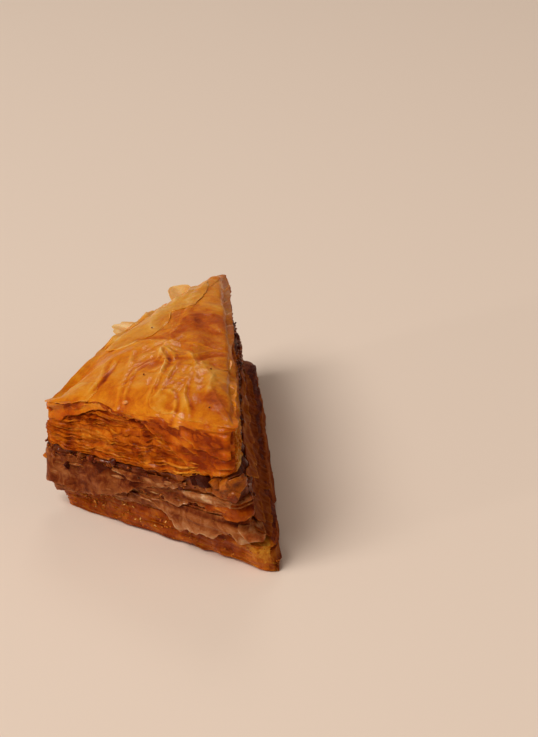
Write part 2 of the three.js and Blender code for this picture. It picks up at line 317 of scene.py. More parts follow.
class LayerForm:
    """The form of one packed layer, measured from its CAD node in millimetres.

    A place on its side has a run, the share of the way round the rim from the square corner, anticlockwise
    seen from above, and a share of the height from foot to head. A place on its top or underside has a run
    and a reach, the share of the way from the middle to the rim.
    """

    DIRECTIONS = 540
    COLUMNS = 1080
    RINGS = 26
    LEVELS = 22
    FAR = 120.0
    SETTLE = 0.9  # how far the rim's line is smoothed along itself

    def __init__(self, node: Node, rim_share: float = 0.85) -> None:
        """Measures a node.

        Args:
            node: The layer's node.
            rim_share: The rim is where the layer has this share of its thickness further in.
        """
        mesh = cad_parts[node.value].data
        corners = [vertex.co / MM for vertex in mesh.vertices]
        self.tree = BVHTree.FromPolygons(corners, [list(face.vertices) for face in mesh.polygons])
        self.low = np.array(corners).min(0)
        areas = np.array([face.area for face in mesh.polygons])
        centres = np.array([face.center[:2] for face in mesh.polygons]) / MM
        self.axis = areas @ centres / areas.sum()
        self._measure(rim_share)

    def _cast(self, start: Sequence[float], way: Sequence[float]) -> float:
        """How far a ray from start goes before it meets the layer, or nan where it misses."""
        distance = self.tree.ray_cast(Vector(start), Vector(way))[3]
        return math.nan if distance is None else distance

    def _span(self, x: float, y: float) -> tuple[float, float]:
        """The heights of the layer's underside and top at a place in plan, nan where there is none."""
        up = self._cast((x, y, -self.FAR), (0, 0, 1))
        down = self._cast((x, y, self.FAR), (0, 0, -1))
        return up - self.FAR, self.FAR - down

    def _rim_reach(self, way: Array, rim_share: float) -> float:
        """The distance of the rim from the axis in one direction."""
        coarse, fine, inside = 1.0, 0.2, 11.0
        for outermost in np.arange(self.FAR, inside, -coarse):
            if not math.isnan(self._span(*(self.axis + way * outermost))[0]):
                break
        spans = [self._span(*(self.axis + way * (outermost - inside - step))) for step in (0.0, 0.3, 0.7)]
        full = np.nanmax([high - low for low, high in spans])
        for reach in np.arange(outermost + coarse, inside / 2, -fine):
            low, high = self._span(*(self.axis + way * reach))
            if high - low > rim_share * full:
                return reach
        return outermost

    def _measure(self, rim_share: float) -> None:
        """Measures the rim, the sides, and the top and underside."""
        angles = np.linspace(-np.pi, np.pi, self.DIRECTIONS, endpoint=False)
        ways = np.stack([np.cos(angles), np.sin(angles)], 1)
        reach = np.array([self._rim_reach(way, rim_share) for way in ways])
        rim = self.axis + ways * reach[:, None]
        step = np.hypot(*(np.roll(rim, -1, 0) - rim).T)
        travel = np.concatenate([[0], np.cumsum(step)])
        self.perimeter = travel[-1]
        even = np.arange(self.COLUMNS) / self.COLUMNS * self.perimeter
        angle = np.interp(even, travel, np.append(angles, np.pi))
        corner = self.low[:2] - self.axis
        start = np.abs(np.angle(np.exp(1j * (angle - math.atan2(corner[1], corner[0]))))).argmin()
        angle = np.roll(angle, -start)
        self.ways = np.stack([np.cos(angle), np.sin(angle)], 1)
        self.angles = angle
        self.rim = np.interp(angle, np.append(angles, np.pi), np.append(reach, reach[0]))
        self.rim = self._settled(self.rim, self.SETTLE)
        inside = self.axis + self.ways * (self.rim - 0.1)[:, None]
        spans = np.array([self._span(*place) for place in inside])
        self.foot = self._settled(self._without_juts(self._filled(spans[:, 0])), self.SETTLE)
        self.head = self._settled(self._without_juts(self._filled(spans[:, 1])), self.SETTLE)
        self._measure_sides()
        self._measure_caps()
        line = self.axis + self.ways * self.sides[self.LEVELS // 2][:, None]
        along = np.roll(line, -4, 0) - np.roll(line, 4, 0)
        along /= np.linalg.norm(along, axis=1, keepdims=True)
        self.normals = np.stack([along[:, 1], -along[:, 0]], 1)

    def _measure_sides(self) -> None:
        """Measures how far the sides are from the axis, level by level. What juts out alone is left out."""
        jut = 1.5
        shares = (np.arange(self.LEVELS) + 0.5) / self.LEVELS
        found = np.full((self.LEVELS, self.COLUMNS), np.nan)
        for column, way in enumerate(self.ways):
            start = self.axis + way * self.FAR
            heights = self.foot[column] + (self.head[column] - self.foot[column]) * shares
            for level, height in enumerate(heights):
                found[level, column] = self.FAR - self._cast((*start, height), (*-way, 0))
        usual = np.nanmedian(found, axis=0)
        found = np.where(np.abs(found - usual) > jut, np.nan, found)
        found = np.where(np.isnan(found), np.where(np.isnan(usual), self.rim, usual), found)
        self.sides = np.array([self._settled(level, self.SETTLE) for level in found])

    def _measure_caps(self) -> None:
        """Measures the heights of the top and underside, ring by ring."""
        reaches = np.linspace(0, 1, self.RINGS)
        under = np.zeros((self.RINGS, self.COLUMNS))
        over = np.zeros((self.RINGS, self.COLUMNS))
        skip = 4
        sparse = np.arange(0, self.COLUMNS, skip)
        every = np.arange(self.COLUMNS)
        for ring, reach in enumerate(reaches[:-1]):
            spots = self.axis + self.ways[sparse] * (self.rim[sparse] * reach)[:, None]
            spans = np.array([self._span(*spot) for spot in spots])
            for heights, column in ((under, 0), (over, 1)):
                found = self._filled(spans[:, column])
                found = np.interp(every, np.append(sparse, self.COLUMNS), np.append(found, found[0]))
                heights[ring] = self._without_juts(found)
        under[-1] = self.foot
        over[-1] = self.head
        self.under, self.over = under, over

    @staticmethod
    def _filled(values: Array) -> Array:
        """Fills the gaps of a line that meets itself from the values beside them."""
        known = ~np.isnan(values)
        index = np.arange(len(values))
        return np.interp(index, index[known], values[known], period=len(values))

    def _without_juts(self, values: Array) -> Array:
        """Replaces what stands out of a line that meets itself by what is usual on both sides of it."""
        reach, skip, jut = 56, 4, 0.55
        usual = np.median([np.roll(values, step) for step in range(-reach, reach + 1, skip)], axis=0)
        return np.where(np.abs(values - usual) > jut + 0.5 * self._steepness(values), usual, values)

    @staticmethod
    def _steepness(values: Array) -> Array:
        """How much a line that meets itself rises or falls over a wide stretch on either side."""
        reach = 60
        return np.abs(np.roll(values, reach) - np.roll(values, -reach))

    def _settled(self, values: Array, size: float) -> Array:
        """Smooths a line that meets itself, over a size in millimetres along the rim."""
        spacing = self.perimeter / len(values)
        waves = np.fft.rfftfreq(len(values), spacing)
        kernel = np.exp(-2 * (np.pi * size * waves) ** 2)
        return np.fft.irfft(np.fft.rfft(values) * kernel, len(values))

    def calm_top(self, size: float) -> None:
        """Takes what is smaller than a size in millimetres off the top, and keeps its rim."""
        for ring in range(1, self.RINGS - 1):
            reach = ring / (self.RINGS - 1)
            self.over[ring] = self._settled(self.over[ring], size / reach)

    def droop(self, run: float, depth: float, size: float) -> None:
        """Lets the top sink towards the rim's place at a run, as deep and as far round it as given."""
        spot = self.side(np.array([run]), 1.0)[0, :2]
        for ring, heights in enumerate(self.over):
            plan = self.axis + self.ways * (self.rim * ring / (self.RINGS - 1))[:, None]
            heights -= depth * np.exp(-((np.hypot(*(plan - spot).T) / size) ** 2))
        self.head = self.over[-1].copy()

    def _columns(self, run: Array) -> tuple[Array, Array, Array]:
        """The columns before and after each run, and the share of the way between them."""
        at = (run % 1) * self.COLUMNS
        before = np.floor(at).astype(int) % self.COLUMNS
        return before, (before + 1) % self.COLUMNS, at - np.floor(at)

    def along(self, values: Array, run: Array) -> Array:
        """Reads a line of values round the rim at each run."""
        before, after, share = self._columns(run)
        if values.ndim == 2:
            share = share[:, None]
        return values[before] * (1 - share) + values[after] * share

    def _grid(self, values: Array, row: Array, run: Array) -> Array:
        """Reads a grid of values, rows by columns, at each row and run."""
        before, after, share = self._columns(run)
        row = np.clip(row, 0, len(values) - 1)
        low = np.minimum(np.floor(row).astype(int), len(values) - 2)
        up = row - low
        lower = values[low, before] * (1 - share) + values[low, after] * share
        upper = values[low + 1, before] * (1 - share) + values[low + 1, after] * share
        return lower * (1 - up) + upper * up

    def side(self, run: Array, share: Array, out: Array | float = 0.0, inward: Array | float = 0.0) -> Array:
        """Places on the side.

        Args:
            run: The share of the way round the rim.
            share: The share of the height.
            out: How far out of the side the places are.
            inward: How far in towards the axis they are.

        Returns:
            The places, N x 3.
        """
        share = np.broadcast_to(share, run.shape)
        reach = self._grid(self.sides, share * self.LEVELS - 0.5, run) - inward
        plan = self.axis + self.along(self.ways, run) * reach[:, None]
        plan = plan + self.along(self.normals, run) * np.broadcast_to(out, run.shape)[:, None]
        foot = self.along(self.foot, run)
        height = foot + (self.along(self.head, run) - foot) * share
        return np.column_stack([plan, height])

    def cap(self, run: Array, reach: Array, heights: Array, out: Array | float = 0.0) -> Array:
        """Places on the top or the underside.

        Args:
            run: The share of the way round the rim.
            reach: The share of the way from the middle to the rim.
            heights: The layer's over or under heights.
            out: How far beyond the rim the rim's places are.

        Returns:
            The places, N x 3.
        """
        plan = self.axis + self.along(self.ways, run) * (self.along(self.rim, run) * reach)[:, None]
        plan = plan + self.along(self.normals, run) * (np.broadcast_to(out, run.shape) * reach)[:, None]
        return np.column_stack([plan, self._grid(heights, reach * (self.RINGS - 1), run)])

    def run_towards(self, plan: Array) -> Array:
        """The run of the rim in the direction of each place in plan."""
        offset = plan - self.axis
        turn = np.arctan2(offset[:, 1], offset[:, 0]) - self.angles[0]
        steps = np.append((self.angles - self.angles[0]) % (2 * np.pi), 2 * np.pi)
        return np.interp(turn % (2 * np.pi), steps, np.arange(self.COLUMNS + 1) / self.COLUMNS)

    def top_height(self, plan: Array) -> Array:
        """The height of the top at each place in plan. Beyond the rim it is that of the rim."""
        run = self.run_towards(plan)
        reach = np.hypot(*(plan - self.axis).T) / self.along(self.rim, run)
        return self._grid(self.over, reach * (self.RINGS - 1), run)

    def front_run(self, across: float) -> float:
        """The run of the front side's place at a distance along X."""
        line = self.axis + self.ways * self.rim[:, None]
        front = np.flatnonzero(self.normals[:, 1] < -0.7)
        return front[np.abs(line[front, 0] - across).argmin()] / self.COLUMNS

    def straighten(self, way: Point, size: float) -> None:
        """Straightens the rim where it faces a direction, over a size in millimetres."""
        every = np.arange(self.COLUMNS) / self.COLUMNS
        share = ease(0.8, 0.95, self.facing(every, way))
        self.rim += share * (self._settled(self.rim, size) - self.rim)
        for level in self.sides:
            level += 0.7 * share * (self._settled(level, size) - level)

    def mean_height(self) -> float:
        """The mean height of the side."""
        return float((self.head - self.foot).mean())

    def corner_run(self) -> float:
        """The run of the front corner, between the front side and the cut side."""
        line = self.axis + self.ways * self.rim[:, None]
        return float((line @ np.array(FRONT_CORNER)).argmax()) / self.COLUMNS

    def past_corner(self, run: Array) -> Array:
        """How far each run is past the front corner in millimetres, negative on the front side."""
        return ((run - self.corner_run() + 0.5) % 1 - 0.5) * self.perimeter

    def facing(self, run: Array, way: Point) -> Array:
        """How squarely the side faces a direction in plan, from 0 to 1."""
        return np.clip(self.along(self.normals, run) @ np.array(way), 0, 1)

    def on_side(self, run: Array, way: Point) -> Array:
        """Whether each run is on the side that faces a direction: 1 on it, 0 off it, between at a corner."""
        return ease(0.5, 0.9, self.facing(run, way))


# ---- Finishes ----


def srgb(red: int, green: int, blue: int) -> tuple[float, float, float, float]:
    """A colour given as it shows on a screen, as a linear one."""

    def linear(value: int) -> float:
        """One channel."""
        share = value / 255
        return share / 12.92 if share <= 0.04045 else ((share + 0.055) / 1.055) ** 2.4

    return (linear(red), linear(green), linear(blue), 1.0)


class ShaderNodes:
    """Adds nodes to one shader tree and links them."""

    def __init__(self, tree: bpy.types.NodeTree) -> None:
        """Starts with an empty tree."""
        self.tree = tree
        tree.nodes.clear()

    def add(self, kind: str, settings: dict | None = None, **inputs: object) -> bpy.types.Node:
        """Adds a node.

        Args:
            kind: The node's type, without ShaderNode.
            settings: Its properties.
            inputs: Its inputs, by name with _ for a space: a value, or the socket to link.

        Returns:
            The node.
        """
        node = self.tree.nodes.new(kind if kind.startswith("Node") else f"ShaderNode{kind}")
        for name, value in (settings or {}).items():
            setattr(node, name, value)
        for name, value in inputs.items():
            socket = node.inputs[int(name[1:]) if name[1:].isdigit() else name.replace("_", " ")]
            if isinstance(value, bpy.types.NodeSocket):
                self.tree.links.new(value, socket)
            else:
                socket.default_value = value
        return node

    def math(self, operation: str, first: object, second: object = 0.0) -> bpy.types.NodeSocket:
        """Adds a Math node and returns its output."""
        return self.add("Math", {"operation": operation}, i0=first, i1=second).outputs[0]


class SharedGroup:
    """A node group that several materials use, built once."""

    def __init__(self, name: str, inputs: dict[str, str], outputs: dict[str, str]) -> None:
        """Makes the group with its sockets.

        Args:
            name: The group's name.
            inputs: The kind of each input, by name.
            outputs: The kind of each output, by name.
        """
        self.tree = bpy.data.node_groups.new(name, "ShaderNodeTree")
        for in_out, sockets in (("INPUT", inputs), ("OUTPUT", outputs)):
            for socket, kind in sockets.items():
                self.tree.interface.new_socket(socket, in_out=in_out, socket_type=f"NodeSocket{kind}")
        self.nodes = ShaderNodes(self.tree)
        self.given = self.nodes.add("NodeGroupInput").outputs

    def give(self, **values: bpy.types.NodeSocket) -> None:
        """Links what the group puts out."""
        self.nodes.add("NodeGroupOutput", **values)


def mottling_group() -> bpy.types.NodeTree:
    """Makes the group that spreads a tone into cloudy patches, streaks and specks.

    Returns:
        A group with Place, Tone, Size, Clouds and Streaks in, and Mask out.
    """
    group = SharedGroup(
        "leaf_mottling",
        {"Place": "Vector", "Tone": "Float", "Size": "Float", "Clouds": "Float", "Streaks": "Float"},
        {"Mask": "Float"},
    )
    nodes, given = group.nodes, group.given
    clouds = nodes.add(
        "TexNoise", Vector=given["Place"], Scale=given["Size"], Detail=5.0, Roughness=0.62, Distortion=1.2
    )
    fine = nodes.math("MULTIPLY", given["Size"], 3.7)
    stretched = nodes.add("Mapping", Vector=given["Place"], Scale=(1.0, 0.35, 2.2), Rotation=(0, 0, 0.25))
    streaks = nodes.add(
        "TexNoise", Vector=stretched.outputs[0], Scale=fine, Detail=4.0, Roughness=0.6, Distortion=2.4
    )
    cloudy = nodes.math("MULTIPLY", nodes.math("SUBTRACT", clouds.outputs["Fac"], 0.5), given["Clouds"])
    streaky = nodes.math("MULTIPLY", nodes.math("SUBTRACT", streaks.outputs["Fac"], 0.5), given["Streaks"])
    group.give(Mask=nodes.math("ADD", nodes.math("ADD", given["Tone"], cloudy), streaky))
    return group.tree


def syrup_group() -> bpy.types.NodeTree:
    """Makes the group that lays an uneven film of syrup, thinner where the pastry is dark.

    Returns:
        A group with Place, Tone, Size, Wet and Dull in, and Coat and Roughness out.
    """
    group = SharedGroup(
        "syrup_film",
        {"Place": "Vector", "Tone": "Float", "Size": "Float", "Wet": "Float", "Dull": "Float"},
        {"Coat": "Float", "Roughness": "Float"},
    )
    nodes, given = group.nodes, group.given
    pools = nodes.add("TexNoise", Vector=given["Place"], Scale=given["Size"], Detail=3.0, Roughness=0.55)
    cover = nodes.add(
        "MapRange", Value=pools.outputs["Fac"], From_Min=0.35, From_Max=0.62, To_Min=0.35, To_Max=1.0
    ).outputs[0]
    dry = nodes.math("SUBTRACT", 1.0, cover)
    lit = nodes.add("MapRange", Value=given["Tone"], From_Min=0.2, From_Max=0.48, To_Min=0.05, To_Max=1.0)
    group.give(
        Coat=nodes.math("MULTIPLY", nodes.math("MULTIPLY", cover, given["Wet"]), lit.outputs[0]),
        Roughness=nodes.math("ADD", given["Dull"], nodes.math("MULTIPLY", dry, 0.25)),
    )
    return group.tree


def grain_group() -> bpy.types.NodeTree:
    """Makes the group that gives the fine relief of baked leaf: blisters, creases and grain.

    Returns:
        A group with Place, Size and Creases in, and Height out.
    """
    group = SharedGroup(
        "leaf_grain", {"Place": "Vector", "Size": "Float", "Creases": "Float"}, {"Height": "Float"}
    )
    nodes, given = group.nodes, group.given
    blisters = nodes.add("TexNoise", Vector=given["Place"], Scale=given["Size"], Detail=6.0, Roughness=0.65)
    creased = nodes.add("TexNoise", Vector=given["Place"], Scale=given["Size"], Detail=2.0, Distortion=3.0)
    ridge = nodes.math("ABSOLUTE", nodes.math("SUBTRACT", creased.outputs["Fac"], 0.5))
    crease = nodes.math("MULTIPLY", nodes.math("SUBTRACT", 0.5, ridge), given["Creases"])
    group.give(Height=nodes.math("ADD", blisters.outputs["Fac"], crease))
    return group.tree


@dataclass(frozen=True)
class Finish:
    """How one kind of pastry or nut looks.

    Attributes:
        name: The material's name.
        shades: Its colours, from the darkest to the palest, at even steps of the tone.
        wet: How much of it the syrup covers.
        dull: The roughness under the syrup.
        film: The roughness of the syrup.
        shine: How strongly the pastry itself reflects, and glint, the colour of that.
        syrup: The colour of the syrup.
        glow: The share of light that goes in and comes out again elsewhere, and depth, how far in
            millimetres.
        clouds: How strongly its colour varies in patches, streaks in streaks, and patch, their size in
            millimetres.
        relief: How far its fine relief stands up in millimetres, grain, its size, and creases, how creased
            it is.
    """

    name: str
    shades: tuple[tuple[int, int, int], ...]
    wet: float = 0.3
    dull: float = 0.48
    film: float = 0.18
    shine: float = 0.12
    syrup: tuple[float, ...] = (1.0, 0.84, 0.55, 1.0)
    glint: tuple[float, ...] = (1.0, 0.72, 0.4, 1.0)
    glow: float = 0.35
    depth: float = 1.6
    clouds: float = 0.8
    streaks: float = 0.5
    patch: float = 4.0
    relief: float = 0.12
    grain: float = 1.2
    creases: float = 0.8

    def material(self, groups: dict[str, bpy.types.NodeTree]) -> bpy.types.Material:
        """Makes the material.

        Args:
            groups: The shared node groups, by name.

        Returns:
            The material.
        """
        material = bpy.data.materials.new(self.name)
        material.use_nodes = True
        nodes = ShaderNodes(material.node_tree)
        place = nodes.add("TexCoord").outputs["Object"]
        tone = nodes.add("Attribute", {"attribute_name": "tone"}).outputs["Fac"]

        def shared(name: str, **inputs: object) -> bpy.types.Node:
            """Places a shared group with its own values."""
            return nodes.add("Group", {"node_tree": groups[name]}, Place=place, **inputs)

        per_metre = 1 / MM
        mottled = shared(
            "mottling", Tone=tone, Size=per_metre / self.patch, Clouds=self.clouds, Streaks=self.streaks
        )
        ramp = nodes.add("ValToRGB", Fac=mottled.outputs["Mask"])
        stops = ramp.color_ramp.elements
        for index, shade in enumerate(self.shades):
            at = index / (len(self.shades) - 1)
            stop = stops[index] if index < 2 else stops.new(at)
            stop.position = at
            stop.color = srgb(*shade)
        syrup = shared("syrup", Tone=tone, Size=per_metre / 2.6, Wet=self.wet, Dull=self.dull)
        grain = shared("grain", Size=per_metre / self.grain, Creases=self.creases)
        bump = nodes.add("Bump", Strength=1.0, Distance=self.relief * MM, Height=grain.outputs["Height"])
        surface = nodes.add(
            "BsdfPrincipled",
            Base_Color=ramp.outputs["Color"],
            Roughness=syrup.outputs["Roughness"],
            Coat_Weight=syrup.outputs["Coat"],
            Coat_Roughness=self.film,
            Coat_IOR=1.45,
            Coat_Tint=self.syrup,
            Specular_IOR_Level=self.shine,
            Specular_Tint=self.glint,
            Subsurface_Weight=self.glow,
            Subsurface_Radius=(1.0, 0.38, 0.12),
            Subsurface_Scale=self.depth * MM,
            Normal=bump.outputs["Normal"],
        )
        nodes.add("OutputMaterial", Surface=surface.outputs[0])
        return material


class Look(Enum):
    """The finishes of the piece."""

    GLAZED = Finish(
        "glazed_top_leaf",
        ((120, 36, 0), (178, 76, 0), (210, 121, 10), (222, 147, 54), (234, 182, 122)),
        wet=0.6, film=0.16, depth=1.2, patch=5.0, clouds=0.6, streaks=0.32,
    )
    PALE_LEAF = Finish(
        "pale_top_leaf",
        ((160, 80, 8), (200, 118, 28), (216, 148, 66), (226, 174, 108), (236, 196, 144)),
        wet=0.6, clouds=0.5,
    )
    CRISP = Finish(
        "crisp_leaf_edges",
        ((86, 18, 0), (140, 50, 0), (182, 89, 5), (208, 130, 32), (226, 172, 94)),
        wet=0.24, shine=0.04, glow=0.15, depth=0.8, streaks=0.3, patch=2.6, relief=0.05, grain=0.7,
        clouds=1.0,
    )
    STEAMED = Finish(
        "steamed_leaves",
        ((66, 16, 3), (108, 44, 12), (144, 78, 34), (170, 114, 72), (208, 166, 128)),
        wet=0.26, dull=0.3, film=0.06, shine=0.06, glow=0.4, streaks=0.2, patch=2.8, relief=0.11,
        grain=0.7, clouds=1.3,
    )
    # Steamed leaves for the cut side. Its shades are darker than the steamed leaves' own: a painted shade
    # there.
    SLUMPED = Finish(
        "shaded_cut_side_leaves",
        ((60, 13, 0), (98, 34, 2), (128, 56, 8), (152, 82, 22), (184, 122, 60)),
        wet=0.04, dull=0.6, shine=0.03, glow=0.3, depth=1.2, streaks=0.3, patch=2.8, relief=0.06,
        clouds=1.0,
    )
    NUT_PASTE = Finish(
        "nut_paste",
        ((46, 10, 1), (78, 22, 2), (106, 41, 6), (136, 68, 17), (168, 104, 50)),
        wet=0.6, patch=1.6, relief=0.2, grain=0.8, creases=0.3, clouds=1.0,
    )
    WALNUT = Finish(
        "walnut_bits",
        ((64, 18, 2), (104, 40, 4), (142, 68, 9), (174, 96, 18), (202, 134, 50)),
        dull=0.34, shine=0.25, patch=1.0, relief=0.08, grain=0.5, creases=0.3,
    )
    DARK_NUT = Finish(
        "dark_nut_skins",
        ((48, 10, 4), (70, 16, 5), (94, 28, 6), (118, 46, 12), (146, 70, 28)),
        wet=0.55, patch=1.2, grain=0.6,
    )
    SOAKED = Finish(
        "soaked_base_leaves",
        ((88, 22, 0), (128, 46, 1), (155, 69, 4), (184, 100, 12), (212, 148, 48)),
        wet=0.4, dull=0.34, film=0.06, shine=0.04, glow=0.25, depth=1.2, streaks=0.2, patch=3.0,
        relief=0.15, grain=0.6, clouds=1.5,
    )
    DROPLET = Finish(
        "syrup_drop",
        ((170, 80, 16), (206, 122, 50), (230, 178, 124)),
        wet=1.0, dull=0.2, film=0.05, clouds=0.2, relief=0.0,
    )


class Palette:
    """The materials of the piece, each made once."""

    def __init__(self) -> None:
        """Makes the shared groups and the materials."""
        groups = {"mottling": mottling_group(), "syrup": syrup_group(), "grain": grain_group()}
        self.materials = {look: look.value.material(groups) for look in Look}

    def dress(self, piece: Piece, look: Look, slot: Slot, *nodes: Node) -> Piece:
        """Gives a piece its finish, attaches it to the body and hides the CAD nodes that it replaces.

        Args:
            piece: The piece.
            look: Its finish.
            slot: The record's slot for its finish; not used.
            nodes: The CAD nodes that it replaces.

        Returns:
            The piece.
        """
        piece.data.materials.clear()
        piece.data.materials.append(self.materials[look])
        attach(piece, BODY)
        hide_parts(*[node.value for node in nodes])
        piece.data.calc_loop_triangles()
        LOG.info("%s: %d triangles", piece.name, len(piece.data.loop_triangles))
        return piece


# ---- Leaves ----


@dataclass(frozen=True)
class LeafEdges:
    """A stack of thin leaves whose ragged edges show at a layer's side.

    Attributes:
        count: How many leaves there are.
        columns: Divisions along an edge.
        rows: Divisions round an edge's section.
        thickness: How thick a leaf is.
        depth: How far it goes in.
        stand: How far its edge stands out of the layer's side.
        ragged: How far its edge wanders in and out, and tear, the length of a tear.
        wave: How far it ripples up and down, ripple, the length of a ripple, and likeness, how unlike the
            next leaf's ripples are.
        curl: How far its edge curls up or down.
        lowest: The share of the layer's height where the lowest leaf lies, and highest, the highest one.
        seed: Picks the pattern.
    """

    count: int
    columns: int = 560
    rows: int = 8
    thickness: float = 0.26
    depth: float = 6.0
    stand: float = 0.0
    ragged: float = 0.4
    tear: float = 5.0
    wave: float = 0.22
    ripple: float = 1.7
    likeness: float = 0.35
    curl: float = 0.3
    lowest: float = 0.03
    highest: float = 0.97
    seed: int = 0

    def build(
        self,
        name: str,
        form: LayerForm,
        tone_of: ToneOf,
        limit: ToneOf | None = None,
    ) -> Piece:
        """Makes the leaves as one piece.

        Args:
            name: The piece's name.
            form: The layer that they lie in.
            tone_of: Their tone by run and share of the height.
            limit: How far out they may stand by run and share, or None.

        Returns:
            The piece.
        """
        leaves = []
        for index in range(self.count):
            share = self.lowest + (self.highest - self.lowest) * index / max(self.count - 1, 1)

            def place(
                turn: Array, section: Array, share: float = share, index: int = index
            ) -> tuple[Array, Array]:
                """The place and tone of one leaf's vertices."""
                track = form.side(turn, share)
                track[:, 2] = index * self.ripple * self.likeness
                own = track + (0, 0, index * 40.0)
                seed = self.seed * 101 + 7
                wander = 0.6 * fractal(track, self.tear, seed) + 0.5 * noise(own, self.tear * 0.3, seed + 5)
                lost = ease(0.3, 0.7, noise(own, self.tear * 1.1, seed + 11))
                bulge = noise(track, self.ripple * 1.3, seed + 13)
                out = self.stand + self.ragged * (1.2 * wander - 1.5 * lost + 0.8 * bulge)
                if limit is not None:
                    out = np.minimum(out, limit(turn, share))
                angle = 2 * np.pi * section
                tip = (1 + np.cos(angle)) / 2
                lip = np.sign(np.sin(angle)) * np.abs(np.sin(angle)) ** 0.6
                arch = 1 - 2 * np.abs(noise(track, self.ripple, seed + 21))
                ripple = arch + 0.8 * noise(track, self.ripple * 2.6, seed + 23)
                stray = noise(own, self.tear * 1.4, seed + 27)
                curl = noise(own, self.tear * 0.8, seed + 31)
                places = form.side(turn, share, out=out, inward=(1 - tip) * self.depth)
                lift = self.wave * (ripple * (0.4 + 0.6 * tip) + stray)
                lift = lift + self.curl * curl * tip**4
                thick = self.thickness * (1 + 0.4 * noise(own, self.tear * 0.7, seed + 33))
                places[:, 2] = np.maximum(places[:, 2] + lift + lip * thick / 2, RESTS)
                shade = tone_of(turn, share) + 0.08 * hashed(np.array([[index, 3, 5]]), self.seed)[0]
                # Paler at the outermost lip and where the edge bulges out, a painted highlight; darker where
                # the edge is torn back, a painted shade in the recess.
                shade = shade + 0.16 * noise(own, self.tear, seed + 41) + 0.28 * (tip - 0.75) - 0.2 * lost
                shade = shade + 0.24 * fractal(track, self.tear * 1.6, seed + 43) + 0.12 * bulge
                return places, shade

            leaves.append(closed_band(f"{name}_{index}", self.columns, self.rows, place))
        return joined(name, leaves)


@dataclass(frozen=True)
class LayerCore:
    """The body of a layer inside its leaf edges.

    Attributes:
        columns: Divisions round it, and rows, from the underside's middle to the top's.
        inset: How far its side lies inside the layer's.
        lines: How many fine leaf lines its side has, line_depth, how deep they are, and line_tone, how much
            paler they are.
        lumps: How far its side is lumpy, and lump, the size of a lump.
        margin: How far its top lies under the layer's.
        sink: How far its underside goes into the layer below.
        seed: Picks the pattern.
    """

    columns: int = 480
    rows: int = 44
    inset: float = 0.9
    lines: int = 12
    line_depth: float = 0.12
    line_tone: float = 0.12
    lumps: float = 0.3
    lump: float = 2.5
    margin: float = 0.0
    sink: float = 0.2
    seed: int = 0

    CAP_ROWS = 0.14  # the share of the rows that lies on the underside, and again on the top

    def build(self, name: str, form: LayerForm, tone_of: ToneOf) -> Piece:
        """Makes the core.

        Args:
            name: The piece's name.
            form: The layer that it fills.
            tone_of: Its tone by run and share of the height.

        Returns:
            The piece.
        """

        def place(turn: Array, rise: Array) -> tuple[Array, Array]:
            """The place and tone of the core's vertices."""
            cap = self.CAP_ROWS
            share = np.clip((rise - cap) / (1 - 2 * cap), 0, 1)
            track = form.side(turn, share)
            lumps = fractal(track, self.lump, self.seed * 13 + 3)
            stretched = track * np.array([0.12, 0.12, 1.0])
            line = noise(stretched, form.mean_height() / self.lines * 0.8, self.seed + 61)
            out = -self.inset + self.lumps * lumps + self.line_depth * line
            places = form.side(turn, share, out=out)
            below, above = rise < cap, rise > 1 - cap
            under = form.cap(turn, np.clip(rise / cap, 0, 1), form.under, out=-self.inset)
            over = form.cap(turn, np.clip((1 - rise) / cap, 0, 1), form.over, out=-self.inset)
            places[below] = under[below] - (0, 0, self.sink)
            places[above] = over[above] - (0, 0, self.margin)
            return places, tone_of(turn, share) + 0.2 * lumps + self.line_tone * line

        return closed_body(name, self.columns, self.rows, place)


# ---- Nuts ----


class NutShapes:
    """A few chopped nut bits, modelled once and copied."""

    CUTS = 5
    KINDS = 7

    def __init__(self) -> None:
        """Models the bits."""
        self.shapes = [self._chopped(kind) for kind in range(self.KINDS)]

    def _chopped(self, kind: int) -> tuple[Array, list[list[int]]]:
        """Models a bit: a rounded lump that is cut by a few planes.

        Args:
            kind: Picks the cuts.

        Returns:
            Its vertices, of a size of about one, and its faces.
        """
        draw = np.random.default_rng(100 + kind)
        select_only()
        bpy.ops.mesh.primitive_ico_sphere_add(subdivisions=2, radius=1)
        piece = bpy.context.object
        places = mesh_places(piece)
        places *= (1 + 0.18 * noise(places, 0.8, kind))[:, None]
        piece.data.vertices.foreach_set("co", places.astype(np.float32).ravel())
        bpy.ops.object.mode_set(mode="EDIT")
        for _ in range(self.CUTS):
            way = draw.normal(size=3)
            way /= np.linalg.norm(way)
            bpy.ops.mesh.select_all(action="SELECT")
            at = tuple(way * draw.uniform(0.45, 0.8))
            bpy.ops.mesh.bisect(plane_co=at, plane_no=tuple(way), use_fill=True, clear_outer=True)
        bpy.ops.mesh.select_all(action="SELECT")
        bpy.ops.mesh.remove_doubles(threshold=0.12)
        bpy.ops.mesh.normals_make_consistent(inside=False)
        bpy.ops.object.mode_set(mode="OBJECT")
        shape = mesh_places(piece), [list(face.vertices) for face in piece.data.polygons]
        bpy.data.objects.remove(piece)
        return shape

    def scatter(self, name: str, bits: Sequence["NutBit"]) -> Piece:
        """Makes one piece of many bits.

        Args:
            name: The piece's name.
            bits: Where the bits are, and how large.

        Returns:
            The piece.
        """
        places, faces, tones = [], [], []
        count = 0
        for bit in bits:
            corners, sides = self.shapes[bit.kind % self.KINDS]
            turned = corners * np.array(bit.stretch) * bit.size @ np.array(bit.turn).T + bit.at
            places.append(turned)
            faces += [[count + corner for corner in side] for side in sides]
            tones.append(np.full(len(corners), bit.tone))
            count += len(corners)
        mesh = bpy.data.meshes.new(name)
        mesh.from_pydata((np.concatenate(places) * MM).tolist(), [], faces)
        set_tone(mesh, np.concatenate(tones))
        piece = bpy.data.objects.new(name, mesh)
        bpy.context.scene.collection.objects.link(piece)
        select_only(piece)
        bpy.ops.object.shade_smooth_by_angle(angle=math.radians(38))
        return piece


